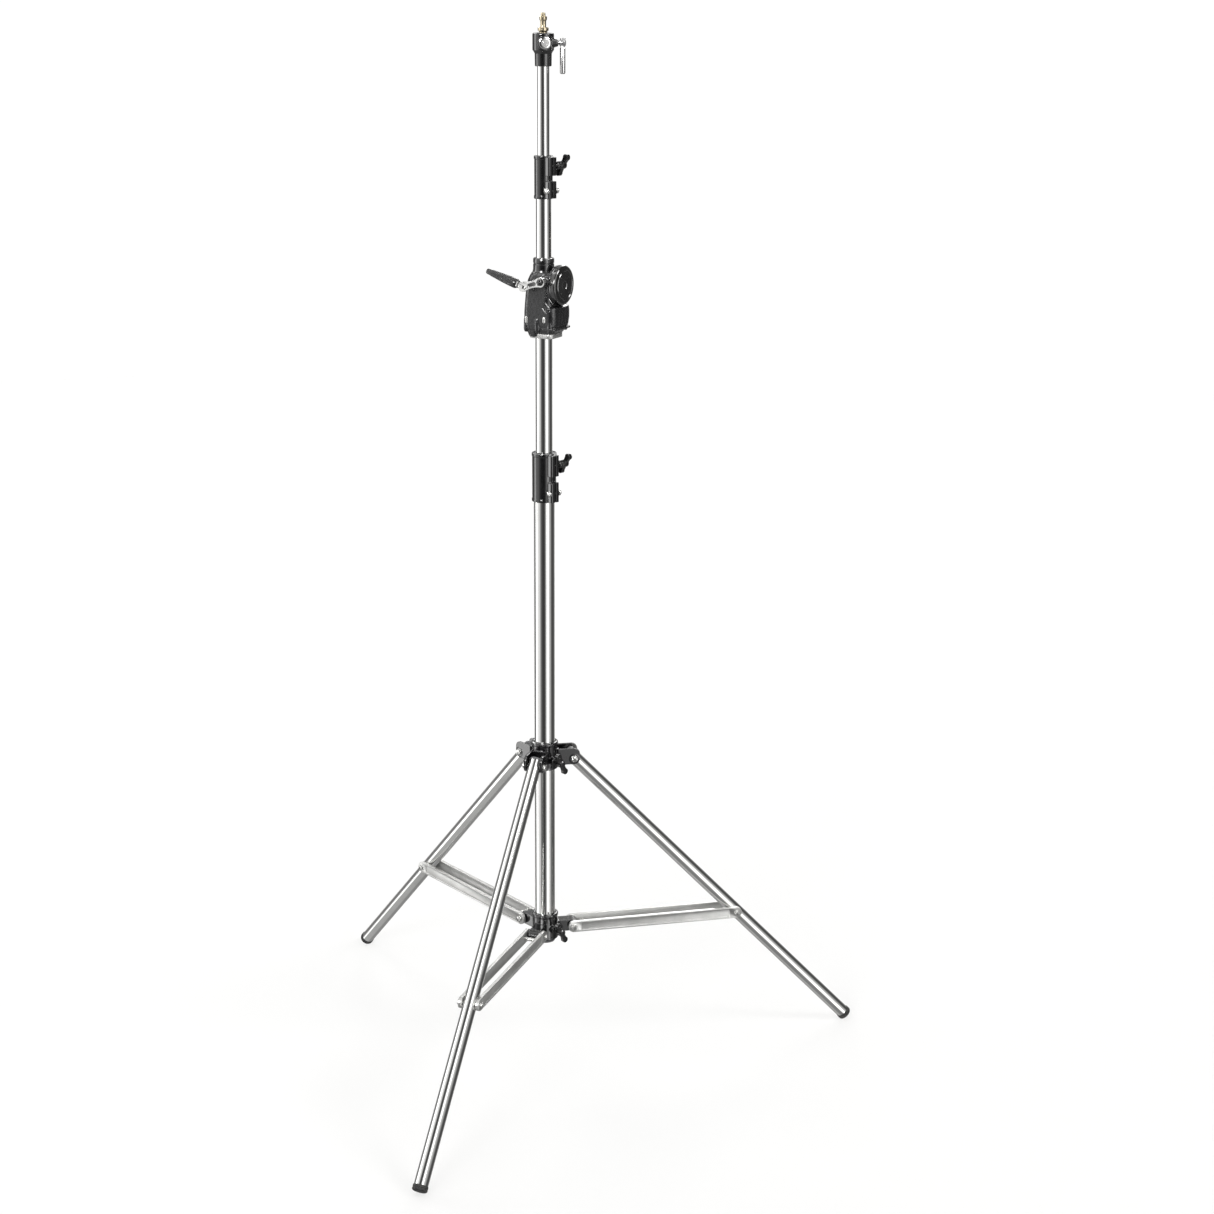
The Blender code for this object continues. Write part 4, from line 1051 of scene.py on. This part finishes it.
def make_grip(grip_frame):
    """A tapered handle with twelve ribs along it."""
    low, high, _, _ = measure("crank_grip", grip_frame)
    swell = mm(high, (3.4, 0), (4.0, 0), (5.1, -0.6), (5.8, -2.6), (6.7, -16), (7.9, -34))
    swell += mm(low, (9.2, 24), (10.2, 11), (10.5, 5.5), (10.3, 2.0), (9.4, 0), (3.4, 0))
    refine("crank_grip", turned_mesh(swell, 72, hollow=True), grip_frame, GRIP)
    # Height, radius at a rib's foot and crest, half width at its foot and crest.
    stations = (
        (low + 0.010, 0.0094, 0.0105, 0.0007, 0.0004),
        (low + 0.030, 0.0083, 0.0096, 0.0007, 0.0004),
        (high - 0.012, 0.0058, 0.0070, 0.0005, 0.0003),
    )
    sections = []
    for z, foot, crest, wide, thin in stations:
        sections.append((z, [(foot, -wide), (crest, -thin), (crest, thin), (foot, wide)]))
    ribs = joined([moved(loft_mesh(sections), rotation("Z", 30 * k)) for k in range(12)])
    piece = bevelled(add_piece("crank_grip_ribs", ribs, grip_frame), 0.00025, 2)
    add_to(piece, "crank_grip", GRIP)


# ---------------------------------------------------------------- braces


def brace_frame(side):
    """From the brace's pivot, z along the bars and x along the pivot."""
    pivot, across = joint_place(f"brace_{side}_hinge")
    return axis_frame(pivot, middle_of(f"brace_{side}_bolt") - pivot, across)


def make_braces():
    """Pairs of bars with a groove along each outer face, and their spacers."""
    for side in SIDES:
        node = f"brace_{side}"
        matrix = brace_frame(side)
        half = -min(y for _, y, _ in local_points(node, matrix))
        outer = max(x for x, _, _ in local_points(node, matrix))
        length = measure(node, matrix)[1] - half
        lying = rotation("Y", -90)
        outline = arc(length, 0, half, -90, 90, 16) + arc(0, 0, half, 90, 270, 16)
        walls = ((-outer, -BRACE_GAP), (BRACE_GAP, outer))
        pair = joined([moved(extruded_mesh(outline, *wall), lying) for wall in walls])
        bars = add_piece(node + "_fine", pair)
        for start, end in ((outer - GROOVE_DEPTH, outer + 0.002), (-outer - 0.002, -outer + GROOVE_DEPTH)):
            cut(bars, box_mesh((start, -GROOVE_HALF_WIDTH, GROOVE_START),
                               (end, GROOVE_HALF_WIDTH, length - GROOVE_START)))
        bars.data.transform(matrix)
        settle(bevelled(bars, 0.0007, 2), node, SATIN)
        end = BRACE_GAP + 0.001
        spacer = [(0.0, end), (0.0042, end), (0.0042, -end), (0.0, -end)]
        place = matrix @ Matrix.Translation((0, 0, 0.024)) @ rotation("Y", 90)
        add_to(add_piece(node + "_spacer", turned_mesh(spacer, 32), place), node, ZINC)


# ---------------------------------------------------------------- stage


def make_camera():
    data = bpy.data.cameras.new("camera")
    data.lens = CAMERA_LENS
    data.sensor_width = CAMERA_SENSOR
    camera = put("camera", data)
    place = COLUMN + Vector((CAMERA_DISTANCE * math.sin(CAMERA_AZIMUTH),
                             -CAMERA_DISTANCE * math.cos(CAMERA_AZIMUTH), CAMERA_HEIGHT))
    heading = math.pi / 2 + CAMERA_AZIMUTH - CAMERA_YAW
    level = Vector((math.cos(heading), math.sin(heading), 0))
    ahead = level * math.cos(CAMERA_PITCH) - UP * math.sin(CAMERA_PITCH)
    right = ahead.cross(UP).normalized()
    above = right.cross(ahead)
    rolled_right = right * math.cos(CAMERA_ROLL) + above * math.sin(CAMERA_ROLL)
    rolled_above = above * math.cos(CAMERA_ROLL) - right * math.sin(CAMERA_ROLL)
    matrix = Matrix((rolled_right, rolled_above, -ahead)).transposed().to_4x4()
    matrix.translation = place
    camera.matrix_world = matrix
    bpy.context.scene.camera = camera


def make_floor():
    """A pale round floor, left out of reflections so that the chrome mirrors the studio alone."""
    mesh = turned_mesh([(0.0, 0.0), (9.0, 0.0), (9.0, -0.02), (0.0, -0.02)], 128)
    floor = add_piece("floor", mesh)
    f = Finish("floor_paper").set(Roughness=0.9)
    tone = f.noise(1.5, 3.0, 0.5)
    f.colour(tone, (0.150, 0.150, 0.149), (0.146, 0.146, 0.145))
    f.set(Emission_Color=(1.0, 0.998, 0.992, 1.0), Emission_Strength=FLOOR_GLOW)
    paint(floor, f.material)
    floor.visible_glossy = False


# The studio as reflections see it: degrees to the right of the main view, and brightness there.
STUDIO = (
    (-180, 0.60), (-160, 0.45), (-140, 0.20), (-118, 0.22), (-108, 0.85), (-101, 3.2), (-90, 3.2),
    (-85, 1.05), (-58, 0.90), (-42, 0.28), (-28, 0.08), (-8, 0.04), (4, 0.07), (12, 0.24), (22, 1.02),
    (30, 1.15), (34, 3.4), (42, 3.4), (47, 0.95), (58, 0.74), (72, 0.40), (84, 0.12), (100, 0.07),
    (128, 0.10), (146, 0.38), (165, 0.70), (180, 0.60),
)
# The same for directions well below level.
LOW_STUDIO = ((-180, 0.30), (-130, 0.42), (-60, 0.48), (-20, 0.24), (40, 0.24), (100, 0.28), (180, 0.30))
# Small bright lamps: degrees right of the main view, degrees up, radius in degrees, brightness.
LAMPS = ((-28, 24, 9, 24.0), (72, 44, 8, 18.0), (-150, 35, 9, 9.0), (165, 30, 9, 9.0))
OVERHEAD = 1.1
# Bright enough for the floor and the backdrop to meet without an edge.
BACKDROP = 1.02
FLOOR_GLOW = 0.70

KEY_PLACE = (-2.6, -3.0, 4.2)  # from the foot of the column
KEY_AIM = 1.3  # height on the column that it points at
KEY_SIZE = 1.8
KEY_POWER = 40


class LightTree:
    """The world's node tree, with short calls for its sums."""

    def __init__(self, world):
        world.use_nodes = True
        self.nodes = world.node_tree.nodes
        self.links = world.node_tree.links

    def feed(self, socket, value):
        if isinstance(value, (int, float)):
            socket.default_value = value
        else:
            self.links.new(value, socket)

    def sum(self, operation, first, second=0.0):
        node = self.nodes.new("ShaderNodeMath")
        node.operation = operation
        self.feed(node.inputs[0], first)
        self.feed(node.inputs[1], second)
        return node.outputs[0]

    def step(self, value, start, end):
        """0 before start and 1 past end, eased between them."""
        node = self.nodes.new("ShaderNodeMapRange")
        node.interpolation_type = "SMOOTHSTEP"
        node.inputs["From Min"].default_value = start
        node.inputs["From Max"].default_value = end
        self.feed(node.inputs["Value"], value)
        return node.outputs["Result"]

    def mix(self, share, first, second):
        node = self.nodes.new("ShaderNodeMix")
        self.feed(node.inputs["Factor"], share)
        self.feed(node.inputs["A"], first)
        self.feed(node.inputs["B"], second)
        return node.outputs["Result"]

    def around(self, turn, stops):
        """Brightness by direction, from (degrees, brightness) stops over a full turn."""
        node = self.nodes.new("ShaderNodeFloatCurve")
        curve = node.mapping.curves[0]
        node.mapping.clip_max_y = 6.0
        node.mapping.use_clip = True
        points = [(0.5 + degrees / 360, brightness) for degrees, brightness in stops]
        for point, place in zip((curve.points[0], curve.points[1]), (points[0], points[-1])):
            point.location = place
        for place in points[1:-1]:
            curve.points.new(*place)
        for point in curve.points:
            point.handle_type = "VECTOR"
        node.mapping.update()
        self.feed(node.inputs["Value"], turn)
        return node.outputs["Value"]

    def lamp(self, direction, right, up, radius):
        """1 inside a round lamp and 0 outside it."""
        turn = math.radians(right) + CAMERA_AZIMUTH
        lift = math.radians(up)
        node = self.nodes.new("ShaderNodeVectorMath")
        node.operation = "DOT_PRODUCT"
        self.links.new(direction, node.inputs[0])
        node.inputs[1].default_value = (
            math.sin(turn) * math.cos(lift), -math.cos(turn) * math.cos(lift), math.sin(lift))
        outside, inside = math.cos(math.radians(radius + 3)), math.cos(math.radians(radius))
        return self.step(node.outputs["Value"], outside, inside)


def make_world():
    """A studio seen in reflections, and a plain pale backdrop behind the stand."""
    world = bpy.data.worlds.new("studio")
    bpy.context.scene.world = world
    tree = LightTree(world)
    direction = tree.nodes.new("ShaderNodeTexCoord").outputs["Generated"]
    split = tree.nodes.new("ShaderNodeSeparateXYZ")
    tree.links.new(direction, split.inputs[0])
    x, y, z = split.outputs
    turn = tree.sum("ARCTAN2", x, tree.sum("MULTIPLY", y, -1.0))
    turn = tree.sum("SUBTRACT", turn, CAMERA_AZIMUTH - math.pi)
    share = tree.sum("FRACT", tree.sum("DIVIDE", turn, 2 * math.pi))
    level = tree.around(share, STUDIO)
    light = tree.mix(tree.step(z, -0.36, -0.62), level, tree.around(share, LOW_STUDIO))
    light = tree.mix(tree.step(z, 0.90, 0.98), light, OVERHEAD)
    for right, up, radius, brightness in LAMPS:
        lit = tree.sum("MULTIPLY", tree.lamp(direction, right, up, radius), brightness)
        light = tree.sum("ADD", light, lit)
    seen = tree.nodes.new("ShaderNodeLightPath").outputs["Is Camera Ray"]
    background = tree.nodes["Background"]
    tree.links.new(tree.mix(seen, light, BACKDROP), background.inputs["Strength"])
    background.inputs["Color"].default_value = (1.0, 0.998, 0.992, 1.0)


def make_key_light():
    """One large soft lamp from the upper left front."""
    data = bpy.data.lights.new("key", "AREA")
    data.shape = "RECTANGLE"
    data.size, data.size_y = KEY_SIZE, KEY_SIZE
    data.energy = KEY_POWER
    lamp = put("key", data)
    place = COLUMN + Vector(KEY_PLACE)
    lamp.matrix_world = axis_frame(place, place - Vector((COLUMN.x, COLUMN.y, KEY_AIM)))
    lamp.visible_glossy = False


# ---------------------------------------------------------------- assembly

for cad_node, cad_object in NODES.items():
    paint(cad_object, NODE_FINISHES[SLOTS[cad_node]])

make_camera()
make_floor()
make_world()
make_key_light()
make_column_tubes()
make_legs()
make_bolts()
make_t_knob("collar_1_knob", "collar_1_clamp")
make_t_knob("collar_2_knob", "collar_2_clamp")
make_t_knob("lower_spider_knob", "lower_clamp")
make_t_knob("upper_spider_knob", "upper_clamp")
make_spider("upper_spider", "upper_clamp", "leg_{}_hinge", True)
make_spider("lower_spider", "lower_clamp", "brace_{}_hinge", False)
make_collar("collar_1", 0.0258, 0.0370)
make_collar("collar_2", 0.0192, 0.0300)
make_top_socket()
make_spigot()
make_lock()
make_winch_housing()
make_winch_cover()
make_winch_trim()
make_crank()
make_braces()

bpy.context.scene.view_settings.view_transform = "Standard"
